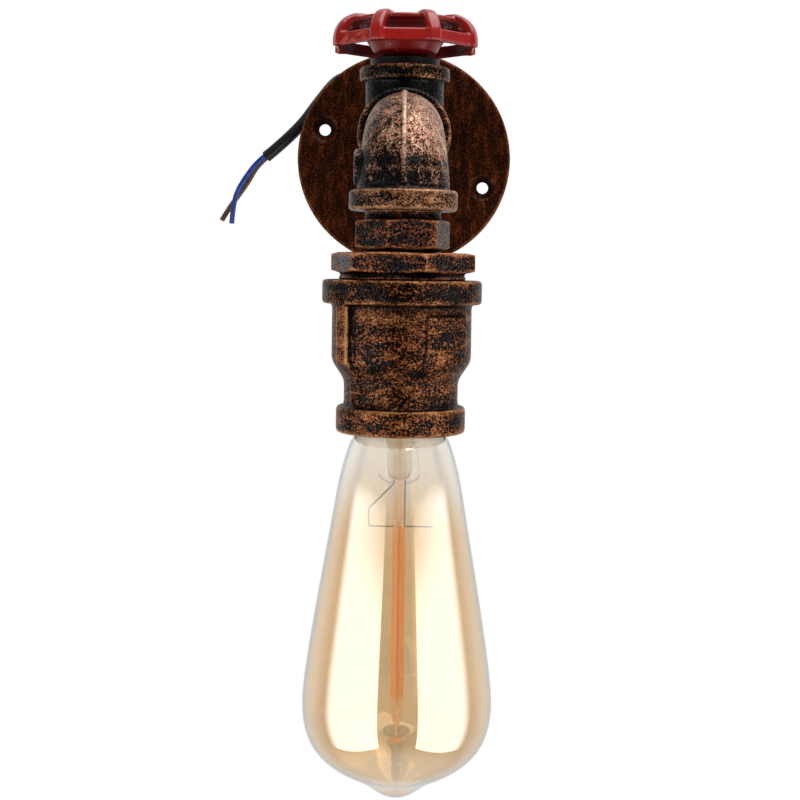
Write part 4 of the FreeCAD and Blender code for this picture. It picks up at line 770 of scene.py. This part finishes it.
# %% Finishes for the rest
plain_parts = {
    zinc: ["thrust_washer", "valve_stem", "stem_washer", "stem_nut", "handwheel_nut",
           "holder_rod", "rod_nut", "retaining_disc"],
    brass: ["screw_shell", "centre_contact"],
    black_paint: ["top_plug"], porcelain: ["holder_body"], tin: ["centre_button"],
    cap_glass: ["cap_insulator"], cap_sheet: ["bulb_cap"], nickel: ["lead_wires"],
    copper_wire: ["filament_post"], board: ["driver_board"], gland: ["cord_gland"],
    flex_black: ["flex_inner"], core_blue: ["inner_blue_wire"],
    core_brown: ["inner_brown_wire"]}
for finish, parts in plain_parts.items():
    for part in parts:
        mesh = nodes[part].data
        mesh.materials.clear()
        mesh.materials.append(finish)
for cord, finish, slot in ((sheath, flex_black, "flex_black"), (blue, core_blue, "core_blue"),
                           (brown, core_brown, "core_brown")):
    cord.data.materials.append(finish)
print("finishes on", sum(len(parts) for parts in plain_parts.values()), "packed parts")

# %% [markdown]
# ## Room and light
# The picture was taken on white, between two large side panels that draw the tall
# reflections on the glass, with a third panel above and in front that lights the
# elbow's back. Lamps would make small hard spots instead. The surroundings are white to
# the camera and to what is seen through glass. As a light source they are dark in
# front, where a studio is dark, and brighter behind, above and below, so the castings
# keep their depth.

# %% White surroundings
def seen_directly(finish):
    """1 for what the camera sees, straight or through glass, and 0 for light and mirrors."""
    rays = layer(finish, "ShaderNodeLightPath").outputs
    through = layer(finish, "ShaderNodeMath", {0: rays["Transmission Depth"], 1: 1.0},
                    operation="MINIMUM")
    return layer(finish, "ShaderNodeMath", {0: rays["Is Camera Ray"], 1: through},
                 operation="MAXIMUM")


world = bpy.data.worlds.new("white_room")
bpy.context.scene.world = world
world.use_nodes = True
world.node_tree.nodes.clear()
toward = layer(world, "ShaderNodeTexCoord").outputs["Generated"]
heading = layer(world, "ShaderNodeSeparateXYZ", {"Vector": toward}).outputs
strength = seen_directly(world)
for way, start, full, dim, bright in (
        (heading["Y"], -0.1, 0.7, 0.05, 0.7),     # behind the lamp
        (heading["Z"], -0.45, -0.9, 0.0, 0.5),    # below
        (heading["Z"], 0.4, 0.95, 0.0, 0.45)):    # above
    glow = layer(world, "ShaderNodeMapRange", {
        "Value": way, "From Min": start, "From Max": full, "To Min": dim, "To Max": bright},
        **SOFT_STEP)
    strength = layer(world, "ShaderNodeMath", {0: strength, 1: glow}, operation="MAXIMUM")
sky = layer(world, "ShaderNodeBackground", {"Color": WHITE, "Strength": strength})
layer(world, "ShaderNodeOutputWorld", {"Surface": sky})
print("surroundings:", world.name)

# %% [markdown]
# The floor is pale, and far enough below to carry no more than a breath of shadow.

# %% Floor
FLOOR_BELOW = 1.3
bpy.ops.mesh.primitive_plane_add(size=8, location=(0, 0, -FLOOR_BELOW))
floor = bpy.context.object
floor.name = "floor"
floor_finish = new_finish("pale_floor")
matt = layer(floor_finish, "ShaderNodeBsdfPrincipled", {
    "Base Color": linear("d8d8d4"), "Roughness": 0.8})
white = layer(floor_finish, "ShaderNodeEmission", {"Color": WHITE, "Strength": 1.0})
surface = layer(floor_finish, "ShaderNodeMixShader", {
    0: seen_directly(floor_finish), 1: matt, 2: white})
layer(floor_finish, "ShaderNodeOutputMaterial", {"Surface": surface})
floor.data.materials.append(floor_finish)
floor.visible_glossy = False
print("floor", FLOOR_BELOW, "m below the arm")

# %% [markdown]
# A panel is one face that glows on its front only. The side panels fade at their top and
# rear edges, so that their reflections in the glass end softly.

# %% Light panels
SIDE_PANEL = {"target": (0, -0.16, -0.5), "width": 1.55, "height": 1.24, "glow": 2.1,
              "top_fade": 0.22, "back_fade": 0.4}


def panel_cloth(name, width, height, glow, top_fade, back_fade, back):
    """Glowing cloth that fades over its top stretch and over the stretch at its back edge,
    which lies on side +1 or -1 of it."""
    cloth = new_finish(name)
    place = layer(cloth, "ShaderNodeTexCoord").outputs["Object"]
    spot = layer(cloth, "ShaderNodeSeparateXYZ", {"Vector": place}).outputs
    backwards = layer(cloth, "ShaderNodeMath", {0: spot["X"], 1: back}, operation="MULTIPLY")
    behind = layer(cloth, "ShaderNodeNewGeometry").outputs["Backfacing"]
    share = layer(cloth, "ShaderNodeMath", {0: 1.0, 1: behind}, operation="SUBTRACT")
    # each fade is at least 1 mm long, so that a panel without one still glows to its edge
    for way, end, fade in ((spot["Y"], height / 2, top_fade), (backwards, width / 2, back_fade)):
        left = layer(cloth, "ShaderNodeMapRange", {
            "Value": way, "From Min": end - fade - MM, "From Max": end,
            "To Min": 1.0, "To Max": 0.0}, **SOFT_STEP)
        share = layer(cloth, "ShaderNodeMath", {0: share, 1: left}, operation="MULTIPLY")
    clear = layer(cloth, "ShaderNodeBsdfTransparent")
    light = layer(cloth, "ShaderNodeEmission", {"Color": WHITE, "Strength": glow})
    surface = layer(cloth, "ShaderNodeMixShader", {0: share, 1: clear, 2: light})
    layer(cloth, "ShaderNodeOutputMaterial", {"Surface": surface})
    return cloth


def panel(name, place, target, width, height, glow, top_fade=0.0, back_fade=0.0, back=1):
    """Hang a soft panel at a place, facing a target. It lights the lamp and isn't seen."""
    work = bmesh.new()
    bmesh.ops.create_grid(work, x_segments=1, y_segments=1, size=0.5,
                          matrix=Matrix.Diagonal((width, height, 1, 1)))
    lamp = add_mesh(name, work)
    lamp.data.materials.append(
        panel_cloth(name + "_cloth", width, height, glow, top_fade, back_fade, back))
    lamp.location = place
    lamp.rotation_euler = (Vector(target) - Vector(place)).to_track_quat("Z", "Y").to_euler()
    lamp.visible_camera = False
    print(name, width, "by", height, "m")


panel("left_panel", (-0.87, -0.66, -0.5), back=1, **SIDE_PANEL)
panel("right_panel", (0.89, -0.62, -0.5), back=-1, **SIDE_PANEL)
panel("top_panel", (0.28, -0.35, 0.85), target=(0, -0.12, 0), width=1.2, height=1.2, glow=3.2)

# %% [markdown]
# The picture is shown with the standard view transform.

# %% View transform
view_settings = bpy.context.scene.view_settings
view_settings.view_transform = "Standard"
